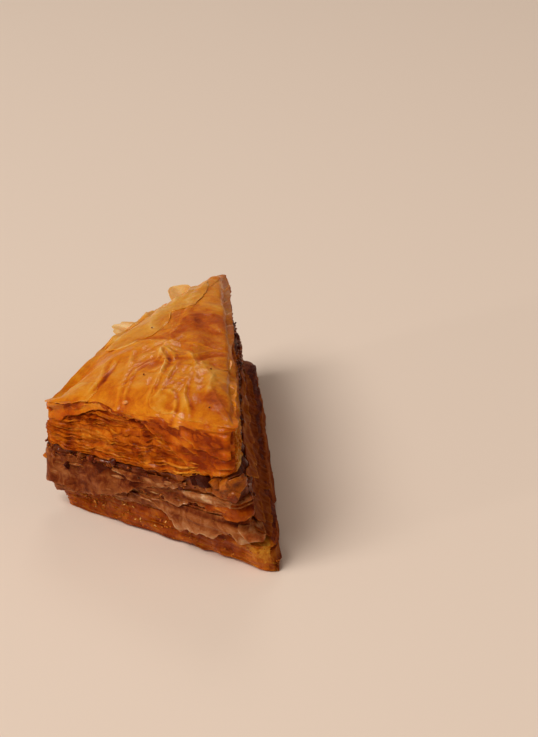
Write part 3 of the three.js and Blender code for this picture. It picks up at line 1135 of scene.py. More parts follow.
@dataclass(frozen=True)
class NutBit:
    """One chopped bit.

    Attributes:
        at: Its middle.
        size: Half of its width.
        kind: The shape that it is a copy of.
        turn: Its rotation.
        stretch: Its size along each axis.
        tone: How pale it is.
    """

    at: Spot
    size: float
    kind: int
    turn: tuple[tuple[float, ...], ...]
    stretch: Spot
    tone: float


def random_turn(draw: Draw) -> tuple[tuple[float, ...], ...]:
    """A random rotation as a matrix."""
    axis = Vector(draw.normal(size=3)).normalized()
    return tuple(tuple(row) for row in Matrix.Rotation(draw.uniform(0, 2 * np.pi), 3, axis))


def drawn_bit(
    draw: Draw, at: Sequence[float], size: float, tone: float, stretches: Point | None = None
) -> NutBit:
    """Draws the kind, the rotation and the stretch of a bit.

    Args:
        draw: Where the random numbers come from.
        at: The bit's middle.
        size: Half of its width.
        tone: How pale it is.
        stretches: The least and the most that it is stretched along an axis, or None for a round one.

    Returns:
        The bit.
    """
    kind = int(draw.integers(99))
    turn = random_turn(draw)
    stretch = (1.0, 1.0, 1.0) if stretches is None else tuple(draw.uniform(*stretches, 3))
    return NutBit(at, size, kind, turn, stretch, tone)


# ---- Sub-assemblies ----


@dataclass(frozen=True)
class Fold:
    """A crease of the glazed leaf.

    Attributes:
        path: The places in plan that it runs through.
        height: How far its crest stands up.
        width: Half of its width.
    """

    path: tuple[Point, ...]
    height: float
    width: float

    LEAN = 0.35

    def rise(self, plan: Array) -> tuple[Array, Array]:
        """Measures the fold.

        Args:
            plan: Places in plan, N x 2.

        Returns:
            How far the leaf stands up at each place, and the depth of the furrow beside the crest.
        """
        path = smooth_path(self.path)
        crest = np.zeros(len(plan))
        furrow = np.zeros(len(plan))
        margin = 4 * self.width
        near = ((plan > path.min(0) - margin) & (plan < path.max(0) + margin)).all(1)
        start, run = path[:-1], np.diff(path, axis=0)
        offset = plan[near][:, None] - start
        share = np.clip((offset * run).sum(2) / (run**2).sum(1), 0, 1)
        gap = offset - share[..., None] * run
        away = np.hypot(gap[..., 0], gap[..., 1])
        nearest = away.argmin(1)
        rows = np.arange(len(nearest))
        away, gap, run = away[rows, nearest], gap[rows, nearest], run[nearest]
        side = np.sign(run[:, 0] * gap[:, 1] - run[:, 1] * gap[:, 0])
        along = (nearest + share[rows, nearest]) / len(start)
        taper = np.sqrt(np.sin(np.pi * np.clip(along, 0.02, 0.98)))
        width = self.width * (1 + self.LEAN * side)
        crest[near] = self.height * taper * np.exp(-((away / width) ** 1.5))
        furrow[near] = self.height * taper * np.exp(-(((away * side - 1.7 * self.width) / self.width) ** 2))
        return crest, furrow


@dataclass(frozen=True)
class ToneArea:
    """A part of the glazed leaf that is paler or darker than the rest.

    Attributes:
        x: Its middle along X, and y, along Y.
        size: How far it reaches.
        tone: How much paler it is.
    """

    x: float
    y: float
    size: float
    tone: float

    def shade(self, plan: Array) -> Array:
        """How much paler the leaf is at each place in plan."""
        away = np.hypot(plan[:, 0] - self.x, plan[:, 1] - self.y)
        return self.tone * np.exp(-((away / self.size) ** 2))


@dataclass(frozen=True)
class LooseLeaf:
    """A torn leaf that lies on the glazed one.

    Attributes:
        name: Its name.
        outline: The places in plan that its edge runs through.
        lift: How far it lies over the glazed leaf, and curl, how far its edge lifts.
        tone: How pale it is.
        ragged: How far its edge wanders.
    """

    name: str
    outline: tuple[Point, ...]
    lift: float = 0.3
    curl: float = 0.25
    tone: float = 0.5
    ragged: float = 0.35


@dataclass(frozen=True)
class CurledEnd:
    """A torn leaf end that stands out of the rim of the top stack.

    Attributes:
        name: Its name.
        root: The place in plan where it leaves the rim.
        points: The way that it points in plan, in degrees.
        length: How long it is, and width, how wide.
        lift: How far its tip stands over its root.
        below: How far its root lies under the top.
    """

    name: str
    root: Point
    points: float
    length: float
    width: float
    lift: float
    below: float


@dataclass(frozen=True)
class HangingLeaf:
    """A torn leaf that hangs down a layer's side.

    Attributes:
        name: Its name.
        drops: Places along the side, in millimetres from the front corner and negative on the front side,
            each with how far the leaf hangs down there.
        top: The share of the layer's height where it starts.
        out: How far it stands off the side, and spread, how far its lower edge stands out further.
        wave: How far it waves in and out, length, the length of a wave, and flow, how much shorter waves are
            down the side than along it.
        streak: The length of its streaks.
        ragged: How far its lower edge wanders.
        tone: How pale it is, and foot_tone, how much paler its lower edge is.
        look: Its finish.
        thickness: How thick it is.
        columns: Divisions along the side, and rows, down it.
        seed: Picks the pattern.
    """

    name: str
    drops: tuple[Point, ...]
    top: float = 1.0
    out: float = 0.1
    spread: float = 0.0
    wave: float = 0.25
    length: float = 3.0
    flow: float = 0.45
    streak: float = 5.0
    ragged: float = 0.5
    tone: float = 0.45
    foot_tone: float = 0.0
    look: Look = Look.STEAMED
    thickness: float = 0.18
    columns: int = 340
    rows: int = 28
    seed: int = 0

    def covers(self, form: LayerForm, run: Array) -> Array:
        """How far the leaf hangs down at each run. It is nothing beside the leaf."""
        return np.interp(form.past_corner(run), *zip(*self.drops), left=0.0, right=0.0) - self.ragged

    def build(self, form: LayerForm) -> Piece:
        """Makes the leaf.

        Args:
            form: The layer that it hangs on.

        Returns:
            The piece.
        """
        marks, drops = zip(*self.drops)
        corner = form.corner_run()

        def place(across: Array, down: Array) -> tuple[Array, Array]:
            """The place and tone of the leaf's vertices."""
            along = marks[0] + (marks[-1] - marks[0]) * across
            run = corner + along / form.perimeter
            line = form.side(run, self.top)
            edge = self.ragged * (fractal(line, 3.2, self.seed, 4) + 0.5 * noise(line, 0.9, self.seed + 5))
            full = np.maximum(np.interp(along, marks, drops), 0.15)
            drop = full * down + np.maximum(edge, -0.7 * full) * down**3
            foot = form.along(form.foot, run)
            share = np.clip((line[:, 2] - drop - foot) / (form.along(form.head, run) - foot), 0, 1)
            hung = line - np.column_stack([np.zeros((len(drop), 2)), drop])
            hung[:, 2] = np.maximum(hung[:, 2], RESTS + self.thickness)
            flowing = hung * (1, 1, self.flow)
            waves = noise(flowing, self.length, self.seed + 11)
            waves += 0.3 * noise(flowing, self.length * 0.4, self.seed + 12)
            lip = 0.25 * ease(0.8, 1.0, down) * noise(line, 2.0, self.seed + 13)
            spread = self.spread * full / max(drops)
            away = self.out * ease(0, 0.2, down) + spread * down**2 + self.wave * waves * ease(0, 0.3, down)
            places = form.side(run, share, out=away + lip)
            places[:, 2] = hung[:, 2]
            bands = noise(hung / (self.streak, self.streak, 1.0), 1.0, self.seed + 17)
            tone = self.tone + self.foot_tone * down + 0.3 * waves + 0.15 * ease(0.85, 1.0, down)
            return places, tone + 0.13 * bands

        return leaf_sheet(self.name, self.columns, self.rows, self.thickness, place)


@dataclass
class TopStack:
    """The crisp top stack: the glazed leaf with its folds, loose leaves on it, and leaf edges under it.

    Attributes:
        form: The form of its layer.
        palette: The finishes.
        shapes: The nut bits, of which the toasted specks are copies.
        skin_columns: Divisions of the glazed leaf round the rim, and skin_rows, from its hem to its middle.
        skin_thickness: How thick it is, skin_over, how far it lies over the stack, and skin_beyond, how far
            it stands off the sides that it hangs down.
        skin_tone: How pale it is, and hem_tone, how much paler it is where it hangs down.
        crown_share: The share of its rows that lies on the top.
        calm: What is smaller than this is taken off the top's measured form.
        corner_droop: How deep the top sinks at the square corner, and how far from there it still sinks.
        drape: Places along X, each with how far the glazed leaf hangs down the front side there.
        side_drop: How far it hangs down the long side, and by how much that varies.
        hanging: The leaves that hang under it, and edges and core, what is under them.
        folds: Its creases, and areas, where it is paler or darker than elsewhere: partly its own browning,
        partly painted light, a painted sheen in the middle and painted shade near the cut edge at the back.
        crumpled: The middle of the place where it is crumpled, along X and Y, and that place's size.
        loose: The leaves that lie on it, loose_size, their divisions, and loose_thickness.
        ends: The torn ends that stand out of the rim, end_size, their divisions, and end_thickness.
        droplet: The place of the drop of syrup, along X and Y, and its size.
        specks: The places of the toasted specks, and speck_size, half of their width.
    """

    form: LayerForm
    palette: Palette
    shapes: NutShapes
    skin_columns: int = 600
    skin_rows: int = 80
    skin_thickness: float = 0.18
    skin_over: float = 0.1
    skin_beyond: float = 0.15
    skin_tone: float = 0.46
    hem_tone: float = -0.2
    crown_share: float = 0.9
    calm: float = 4.0
    corner_droop: Point = (3.4, 9.0)
    drape: tuple[Point, ...] = (
        (-30, 4.4), (-22, 4), (-15, 2.8), (-8, 1.3), (0, 0.7), (8, 0.8), (14, 1.6), (19, 3),
        (24, 4),
    )
    side_drop: Point = (2, 1.6)
    hanging: tuple[HangingLeaf, ...] = (
        HangingLeaf(
            "under_drape",
            (
                (-50, 0.3), (-34, 0.8), (-24, 2.2), (-17, 6), (-11, 9.5), (-5, 11), (0, 11.5),
                (1.2, 11),
            ),
            out=0.05, ragged=1.1, tone=0.08, flow=1.3, seed=301,
        ),
        HangingLeaf(
            "middle_drape",
            (
                (-42, 0.5), (-30, 1.2), (-20, 2), (-14, 4.2), (-8, 7.4), (-3, 9.4), (0, 9.6),
                (0.8, 9),
            ),
            out=0.22, ragged=0.9, tone=0.08, flow=1.3, seed=302,
        ),
        HangingLeaf(
            "upper_drape",
            (
                (-58, 1), (-52, 2.4), (-46, 1.6), (-40, 0.6), (-24, 0.9), (-12, 3), (-5, 6.2),
                (0, 6.6),
            ),
            out=0.34, ragged=0.8, tone=0.12, flow=1.3, seed=303,
        ),
    )
    edges: LeafEdges = LeafEdges(
        count=18, columns=600, rows=8, thickness=0.5, stand=0.15, ragged=0.4, wave=0.4, ripple=2,
        likeness=0.24, highest=0.93, seed=1,
    )
    core: LayerCore = LayerCore(inset=0.34, lines=24, lumps=0.45, lump=4, margin=0.7, seed=2)
    folds: tuple[Fold, ...] = (
        Fold(((-15.5, -20.5), (-15, -21.8), (-12.1, -26.5), (-7.6, -35.7), (-5.4, -40.4)), 0.62, 0.62),
        Fold(((-8, -23.4), (-8.8, -29.2), (-6, -35.4), (-3.9, -39.8)), 0.45, 0.5),
        Fold(((-9.4, -17), (-8.8, -18.3), (-3.5, -23.7), (-0.6, -31.3), (1.3, -37), (3.1, -40.7)), 0.6, 0.6),
        Fold(((3.6, -35.4), (5.6, -34.6), (8.2, -36.4), (10.6, -39.6), (10, -41), (8.2, -40.4)), 0.55, 0.5),
        Fold(((5.1, -39), (9.1, -40.4), (12.7, -41), (15.9, -41)), 0.35, 0.5),
        Fold(((6.2, -28), (9.8, -34.7), (14.3, -39.4), (15.3, -41.7)), 0.42, 0.55),
        Fold(((-1, -22), (0.8, -27.2), (2.9, -34.3), (4, -37)), 0.4, 0.5),
        Fold(((-20, -24), (-19, -27.4), (-15.6, -33.5), (-15.2, -38.9)), 0.5, 0.7),
        Fold(((-17.5, -24), (-15.2, -31.5), (-14.4, -36.7)), 0.4, 0.55),
        Fold(((-9.5, -17.6), (-7.4, -20.8), (-7, -23)), 0.35, 0.45),
        Fold(((-8.6, -16.8), (-4.5, -19), (-1.4, -23.4)), 0.38, 0.5),
        Fold(((-8, -15.8), (-3, -17), (3, -21), (6, -25)), 0.35, 0.6),
        Fold(((10, -24), (13, -29), (15, -34)), 0.35, 0.8),
        Fold(((-26, 4), (-21, -6), (-13, -12)), 0.3, 1.4),
        Fold(((-24, 16), (-17, 4), (-11, -2)), 0.3, 1.2),
        Fold(((-24, -22), (-18, -16), (-9, -14)), 0.3, 1),
    )
    # Mostly the leaf's own browning. The pale area at (-8, -13) is a painted sheen, and the dark ones at
    # (-10, -3) and (-5, 5), near the cut edge at the back, are painted shade.
    areas: tuple[ToneArea, ...] = (
        ToneArea(-24, 4, 8, 0.16),
        ToneArea(-10, -3, 6, -0.1),
        ToneArea(-5, 5, 5, -0.08),
        ToneArea(-8, -13, 8, 0.1),
        ToneArea(20, -37, 9, -0.27),
        ToneArea(11, -25, 3.5, 0.16),
        ToneArea(13, -36, 3, 0.14),
        ToneArea(-6, -17, 3.5, 0.2),
        ToneArea(4, -38, 3, 0.04),
        ToneArea(10.6, -35.5, 3.5, 0.1),
        ToneArea(2.7, -14.8, 6, -0.14),
        ToneArea(-20, -30, 6, 0.06),
        ToneArea(2, -12, 4, -0.12),
        ToneArea(-8, -1, 5, 0.1),
    )
    crumpled: Spot = (0, -28, 15)
    loose: tuple[LooseLeaf, ...] = (
        LooseLeaf(
            "far_leaf",
            ((-9.5, -12.5), (-13.5, -4.5), (-15, 2), (-9.5, 6.5), (-6, 5.2), (1.2, -4.6), (4.6, -10.2)),
            lift=0.12, tone=0.34,
        ),
        LooseLeaf(
            "middle_leaf",
            ((-9, -12.8), (-0.5, -13.6), (6.2, -11.2), (10.2, -16.8), (9, -22), (0, -24), (-8, -20)),
            lift=0.3, tone=0.46,
        ),
        LooseLeaf(
            "near_leaf",
            (
                (-7.5, -17.6), (-1, -17.8), (6, -18.6), (13.4, -19.4), (20.6, -29.6), (27.6, -39.6),
                (20, -41), (10, -40.6), (4.2, -40), (1.7, -36), (-0.6, -30), (-3.8, -23.5),
            ),
            lift=0.32, tone=0.5,
        ),
        LooseLeaf(
            "back_leaf",
            (
                (-18.2, 8.4), (-19.8, 5), (-21, 3.4), (-18.5, -1.1), (-17.2, -4.5), (-16.5, -12),
                (-21, -18.5), (-27.5, -17), (-29.6, -4), (-30.4, 12), (-30.6, 27), (-25, 25),
                (-20.6, 17),
            ),
            lift=0.25, tone=0.62, ragged=0.7,
        ),
        LooseLeaf(
            "corner_leaf",
            ((-27.2, -39.6), (-26.4, -34.5), (-20, -33.8), (-14.8, -35.6), (-13.6, -39.6), (-20, -41.2)),
            lift=0.12, tone=0.54, ragged=1.1,
        ),
    )
    loose_size: tuple[int, int] = (420, 44)
    loose_thickness: float = 0.12
    ends: tuple[CurledEnd, ...] = (
        CurledEnd("side_leaf_end", (-29.4, -1.8), 182, 6, 10.5, 0.6, 1.9),
        CurledEnd("back_leaf_end", (-31.6, 24), 165, 5.2, 9.5, 1.8, 1.4),
    )
    end_size: tuple[int, int] = (60, 36)
    end_thickness: float = 0.18
    droplet: Spot = (-3.4, -39.4, 0.75)
    specks: tuple[Point, ...] = ((-4.9, -30.3), (18.5, -37), (-19, -8), (8.5, -22))
    speck_size: float = 0.25

    def _drop(self, run: Array) -> Array:
        """How far the glazed leaf hangs down the side at each run. It ends at the rim on the cut side."""
        line = self.form.side(run, 1.0)
        front = ease(0.55, 0.8, self.form.facing(run, FRONT))
        left = ease(0.5, 0.8, self.form.facing(run, LEFT))
        cut = ease(0.6, 0.9, self.form.facing(run, CUT))
        across = np.interp(line[:, 0], *zip(*self.drape))
        beside = self.side_drop[0] + self.side_drop[1] * noise(line, 7.0, 71)
        drop = front * across + left * beside
        ragged = 0.5 * fractal(line, 3.6, 73, 4) + 0.3 * noise(line, 1.1, 75)
        return np.maximum((drop * (1 + 0.25 * noise(line, 4.0, 77)) + ragged) * (1 - cut) + 0.12 * cut, 0.1)

    def _relief(self, plan: Array) -> tuple[Array, Array]:
        """The folds and wrinkles of the glazed leaf: their height and their tone.

        The tone is paler on crests, crinkles and blisters, a painted highlight, and darker in the furrows, a
        painted shade; the areas add their own paler and darker parts.
        """
        height = np.zeros(len(plan))
        tone = sum(area.shade(plan) for area in self.areas)
        for fold in self.folds:
            crest, furrow = fold.rise(plan)
            broken = 0.6 + 0.5 * noise(np.column_stack([plan, plan[:, 0]]) * 0.7, 2.6, 80)
            height += broken * (crest - 0.35 * furrow)
            # Paler on the crest and darker in the furrow: a painted highlight and a painted shade.
            tone += broken * (0.6 * crest - 0.75 * furrow)
        flat = np.column_stack([plan, np.zeros(len(plan))])
        warp = np.column_stack([noise(flat, 6.0, 81), noise(flat, 6.0, 82), np.zeros(len(plan))])
        warped = flat + 2.6 * warp
        drawn = warped @ np.array([[1.0, 0.2, 0], [-0.2, 0.38, 0], [0, 0, 1]])
        x, y, size = self.crumpled
        amount = 0.15 + 0.85 * np.exp(-((np.hypot(plan[:, 0] - x, plan[:, 1] - y) / size) ** 4))
        crinkle = amount * (1 - 2.4 * np.abs(noise(drawn, 2.6, 83)) ** 0.7)
        fine = amount * (1 - 2.4 * np.abs(noise(warped, 1.5, 86)) ** 0.7)
        blister = fractal(flat, 3.8, 84)
        height += 0.16 * crinkle + 0.06 * fine + 0.14 * blister
        # Paler where crinkles and blisters stand up: a painted highlight.
        tone += 0.11 * crinkle + 0.05 * fine + 0.1 * blister + 0.18 * fractal(warped, 7.0, 88)
        return height, tone

    def top(self, plan: Array) -> Array:
        """The height of the glazed leaf at each place in plan."""
        return self.form.top_height(plan) + self.skin_over + self._relief(plan)[0]

    def _skin(self) -> Piece:
        """Makes the glazed leaf, which hangs over the rim."""
        form = self.form

        def place(turn: Array, inward: Array) -> tuple[Array, Array]:
            """The place and tone of the leaf's vertices."""
            crown = np.clip((inward - (1 - self.crown_share)) / self.crown_share, 0, 1)
            hang = np.clip(1 - inward / (1 - self.crown_share), 0, 1)
            beyond = self.skin_beyond * (1 - ease(0.6, 0.9, form.facing(turn, CUT)))
            places = form.cap(turn, 1 - crown, form.over, out=beyond)
            rise, tone = self._relief(places[:, :2])
            places[:, 2] += self.skin_over + rise
            height = form.along(form.head - form.foot, turn)
            drop = np.minimum(self._drop(turn), 0.92 * height) * hang
            share = 1 - drop / height
            sag = 0.13 + 0.13 * noise(np.column_stack([places[:, :2], drop * 2.0]), 2.4, 91)
            hung = form.side(turn, share, out=beyond + np.minimum(drop, sag) * ease(0.2, 0.6, drop))
            over = ease(0.0, 1.2, drop)
            hung[:, 2] += (self.skin_over + rise) * (1 - over)
            places = np.where((hang > 0)[:, None], hung, places)
            return places, self.skin_tone + tone + self.hem_tone * ease(0, 3, drop)

        return leaf_sheet("glazed_leaf", self.skin_columns, self.skin_rows, self.skin_thickness, place)

    def _loose_leaf(self, leaf: LooseLeaf, seed: int) -> Piece:
        """Makes a torn leaf that lies on the glazed one."""
        outline = smooth_path(leaf.outline, closed=True, steps=10)
        middle = outline.mean(0)
        lengths = np.hypot(*(np.roll(outline, -1, 0) - outline).T)
        travel = np.concatenate([[0], np.cumsum(lengths)]) / lengths.sum()
        closed = np.vstack([outline, outline[:1]])

        def place(turn: Array, inward: Array) -> tuple[Array, Array]:
            """The place and tone of the leaf's vertices."""
            edge = np.column_stack([np.interp(turn, travel, closed[:, axis]) for axis in (0, 1)])
            flat = np.column_stack([edge, np.full(len(edge), seed * 10.0)])
            wander = leaf.ragged * (fractal(flat, 3.0, seed, 4) + 0.5 * noise(flat, 0.9, seed + 9))
            offset = edge - middle
            reach = np.linalg.norm(offset, axis=1)
            edge = middle + offset * (1 + wander / reach)[:, None]
            plan = middle + (edge - middle) * (1 - inward)[:, None]
            distance = inward * reach
            rim = 1 - ease(0, 1.6, distance)
            level = np.column_stack([plan, np.zeros(len(plan))])
            lift = leaf.lift * (1 + 0.3 * noise(level, 4.0, seed + 3))
            lift = lift + leaf.curl * rim * noise(flat, 3.5, seed + 5)
            relief, tone = self._relief(plan)
            height = self.form.top_height(plan) + self.skin_over + relief + np.maximum(lift, 0.08)
            # Paler along the torn edge: a painted highlight on its rim.
            tone = leaf.tone + tone + 0.12 * (1 - ease(0, 0.7, distance))
            return np.column_stack([plan, height]), tone

        return leaf_sheet(leaf.name, *self.loose_size, self.loose_thickness, place)

    def _curled_end(self, end: CurledEnd) -> Piece:
        """Makes a torn leaf end: a thin tongue that starts inside the stack."""
        turn = math.radians(end.points)
        way = np.array([math.cos(turn), math.sin(turn)])
        beside = np.array([-way[1], way[0]])
        root = np.array(end.root)
        base = self.form.top_height(root[None])[0] - end.below

        def place(across: Array, along: Array) -> tuple[Array, Array]:
            """The place and tone of the tongue's vertices."""
            wide = (across - 0.5) * end.width * (1 - 0.3 * along**2)
            flat = np.column_stack([wide, along * 4, np.full(len(along), end.length)])
            tip = 1 - 0.35 * (2 * across - 1) ** 2 + 0.08 * noise(flat * (1, 0, 1), 1.2, 7)
            reach = (along * 1.45 - 0.45) * end.length * tip
            plan = root + way * reach[:, None] + beside * wide[:, None]
            curl = end.lift * np.clip(along, 0, 1) ** 2 + 0.35 * noise(flat, 2.6, 5)
            return np.column_stack([plan, base + curl]), 0.55 + 0.3 * along + 0.1 * noise(flat, 1.5, 9)

        return leaf_sheet(end.name, *self.end_size, self.end_thickness, place)

    def _edge_tone(self, run: Array, share: Array | float) -> Array:
        """The tone of the leaf edges: red-brown under the glazed leaf, darkest far along the cut side.

        The cut side is darker as a painted shade, and paler near the front corner as a painted lit strip.
        """
        form = self.form
        share = np.broadcast_to(share, run.shape)
        front, cut = form.facing(run, FRONT), form.on_side(run, CUT)
        # A painted lit strip on the cut side near the front corner; the rest of the cut side gets a painted
        # shade below.
        near = 0.5 * (1 - ease(10.0, 64.0, form.past_corner(run))) * cut
        pale = 0.07 * (1 - ease(0.15, 0.5, share)) * front
        return 0.37 - 0.2 * ease(0.5, 0.95, share) * front + pale - 0.2 * cut + near

    def _edge_limit(self, run: Array, share: float) -> Array:
        """How far out the leaf edges may stand: not through the glazed leaf that hangs over them."""
        height = self.form.along(self.form.head - self.form.foot, run)
        hung = np.max([self._drop(run)] + [leaf.covers(self.form, run) for leaf in self.hanging], axis=0)
        return np.where((1 - share) * height < hung, -0.1, 2.0)

    def _drop_of_syrup(self) -> Piece:
        """Makes the drop of syrup at the front of the glazed leaf."""
        x, y, size = self.droplet
        height = self.top(np.array([[x, y]]))[0]

        def place(turn: Array, rise: Array) -> tuple[Array, Array]:
            """The place and tone of the drop's vertices."""
            angle, tilt = 2 * np.pi * turn, np.pi * (rise - 0.5)
            round_it = np.column_stack([np.cos(angle), np.sin(angle)]) * np.cos(tilt)[:, None]
            ball = np.column_stack([round_it, 0.5 * np.sin(tilt)])
            return ball * size + (x, y, height + 0.15), np.full(len(turn), 0.7)

        return closed_body("syrup_drop", 24, 16, place)

    def _specks(self) -> Piece:
        """Makes the toasted specks that lie on the glazed leaf."""
        draw = np.random.default_rng(41)
        heights = self.top(np.array(self.specks)) + self.speck_size + 0.15
        bits = [
            NutBit((*spot, height), self.speck_size, index, random_turn(draw), (1.0, 1.0, 1.0), 0.2)
            for index, (spot, height) in enumerate(zip(self.specks, heights))
        ]
        return self.shapes.scatter("toasted_specks", bits)

    def build(self) -> None:
        """Makes the stack and dresses it."""
        self.form.calm_top(self.calm)
        self.form.droop(SQUARE_CORNER, *self.corner_droop)
        self.form.straighten(CUT, 4.0)
        dress = self.palette.dress
        core = self.core.build("top_stack_core", self.form, self._edge_tone)
        dress(core, Look.CRISP, Slot.BAKED, Node.TOP)
        edges = self.edges.build("top_leaf_edges", self.form, self._edge_tone, self._edge_limit)
        dress(edges, Look.CRISP, Slot.BAKED, Node.TOP)
        dress(self._skin(), Look.GLAZED, Slot.BAKED, Node.TOP)
        for leaf in self.hanging:
            dress(leaf.build(self.form), Look.GLAZED, Slot.BAKED, Node.TOP)
        for seed, leaf in enumerate(self.loose):
            dress(self._loose_leaf(leaf, 200 + seed), Look.GLAZED, Slot.BAKED, Node.TOP)
        for end in self.ends:
            dress(self._curled_end(end), Look.PALE_LEAF, Slot.BAKED, Node.TOP)
        dress(self._drop_of_syrup(), Look.DROPLET, Slot.BAKED, Node.TOP)
        dress(self._specks(), Look.WALNUT, Slot.BAKED, Node.TOP)


@dataclass
class PaleLayer:
    """A band of pale, steamed leaves with moist, wavy edges.

    Attributes:
        name: What its pieces' names start with.
        node: The CAD node that it replaces.
        palette: The finishes.
        edges: The leaves that show at its sides.
        seed: Picks the pattern of its core.
        hanging: The leaves that hang down its sides.
        pale: How pale it is, and cut_shade, how much paler on the cut side: as it is negative, a painted
        shade there.
    """

    name: str
    node: Node
    palette: Palette
    edges: LeafEdges
    seed: int
    hanging: tuple[HangingLeaf, ...]
    pale: float = 0.36
    cut_shade: float = -0.14

    def build(self) -> None:
        """Makes the layer and dresses it."""
        form = LayerForm(self.node)

        def tone_of(run: Array, share: Array | float) -> Array:
            """The tone of the leaves: darkest on the cut side, a painted shade."""
            return self.pale + self.cut_shade * form.on_side(run, CUT)

        core = LayerCore(inset=0.3, lines=5, line_depth=0.3, lump=4.0, seed=self.seed)
        dress = self.palette.dress
        for leaf in self.hanging:
            dress(leaf.build(form), leaf.look, Slot.PALE, self.node)
        dress(core.build(f"{self.name}_core", form, tone_of), Look.STEAMED, Slot.PALE, self.node)
        dress(self.edges.build(f"{self.name}_leaves", form, tone_of), Look.STEAMED, Slot.PALE, self.node)


@dataclass(frozen=True)
class Chunk:
    """A larger bit that shows at the front side.

    Attributes:
        across: Its place along X.
        height: Its height over the surface that the piece rests on.
        size: Half of its width.
        tone: How pale it is.
        out: How far it stands out of the side.
        dark: Whether it has its dark skin on.
    """

    across: float
    height: float
    size: float
    tone: float
    out: float = 0.0
    dark: bool = False


@dataclass
class Filling:
    """A band of chopped walnuts in syrup.

    Attributes:
        name: What its pieces' names start with.
        node: The CAD node that it replaces.
        palette: The finishes.
        shapes: The nut bits.
        count: How many bits are drawn, and sizes, half of their width, from the smallest to the largest.
        seed: Picks the pattern.
        chunks: The larger bits, each at its own place.
        hanging: The leaves and flows that hang down its sides.
        dark_share: The share of the bits that have their dark skin on.
        paste_tone: How pale the paste is, corner_tone, how much paler near the front corner, and cut_shade,
        on the cut side, where it is negative: a painted shade.
    """

    name: str
    node: Node
    palette: Palette
    shapes: NutShapes
    count: int
    sizes: Point
    seed: int
    chunks: tuple[Chunk, ...]
    hanging: tuple[HangingLeaf, ...]
    dark_share: float = 0.18
    paste_tone: float = 0.42
    corner_tone: float = 0.22
    cut_shade: float = -0.06

    def _bits(self, form: LayerForm) -> tuple[list[NutBit], list[NutBit]]:
        """Draws the bits.

        Args:
            form: The layer that they lie in.

        Returns:
            The walnut bits, and those with their dark skin on.
        """
        draw = np.random.default_rng(self.seed)
        plain, dark = [], []
        for _ in range(self.count):
            run, share = np.array([draw.uniform(0, 1)]), draw.uniform(0.08, 0.92)
            size = self.sizes[0] * (self.sizes[1] / self.sizes[0]) ** (draw.uniform(0, 1) ** 1.8)
            out = -0.7 * size + draw.uniform(-0.15, 0.25)
            at = form.side(run, share, out=out)
            if noise(at, 5.0, self.seed) < draw.uniform(-0.9, 0.5):
                continue
            at = tuple(at[0])
            # Bits on the cut side are drawn darker: a painted shade.
            tone = draw.uniform(0.1, 0.75) - 0.15 * float(form.facing(run, CUT)[0])
            bit = drawn_bit(draw, at, size, tone, (0.7, 1.2))
            (dark if draw.uniform(0, 1) < self.dark_share else plain).append(bit)
        for chunk in self.chunks:
            run = np.array([form.front_run(chunk.across)])
            foot, head = form.along(form.foot, run)[0], form.along(form.head, run)[0]
            share = (chunk.height - foot) / (head - foot)
            at = tuple(form.side(run, share, out=chunk.out - 0.4 * chunk.size)[0])
            bit = drawn_bit(draw, at, chunk.size, chunk.tone, (0.85, 1.15))
            (dark if chunk.dark else plain).append(bit)
        return plain, dark

    def build(self) -> None:
        """Makes the filling and dresses it."""
        form = LayerForm(self.node)

        def tone_of(run: Array, share: Array | float) -> Array:
            """The tone of the paste: palest towards the front corner, darkest on the cut side, a painted
            shade.
            """
            across = form.side(run, share)[:, 0]
            pale = self.corner_tone * ease(4.0, 16.0, across) * form.on_side(run, FRONT)
            return self.paste_tone + pale + self.cut_shade * form.on_side(run, CUT)

        core = LayerCore(
            columns=620, rows=56, inset=0.35, lines=3, line_depth=0.2, lumps=0.4, lump=2.0, seed=self.seed
        )
        dress = self.palette.dress
        dress(core.build(f"{self.name}_paste", form, tone_of), Look.NUT_PASTE, Slot.NUTS, self.node)
        for leaf in self.hanging:
            dress(leaf.build(form), leaf.look, Slot.PALE, self.node)
        plain, dark = self._bits(form)
        dress(self.shapes.scatter(f"{self.name}_walnuts", plain), Look.WALNUT, Slot.NUTS, self.node)
        dress(self.shapes.scatter(f"{self.name}_dark_bits", dark), Look.DARK_NUT, Slot.NUTS, self.node)


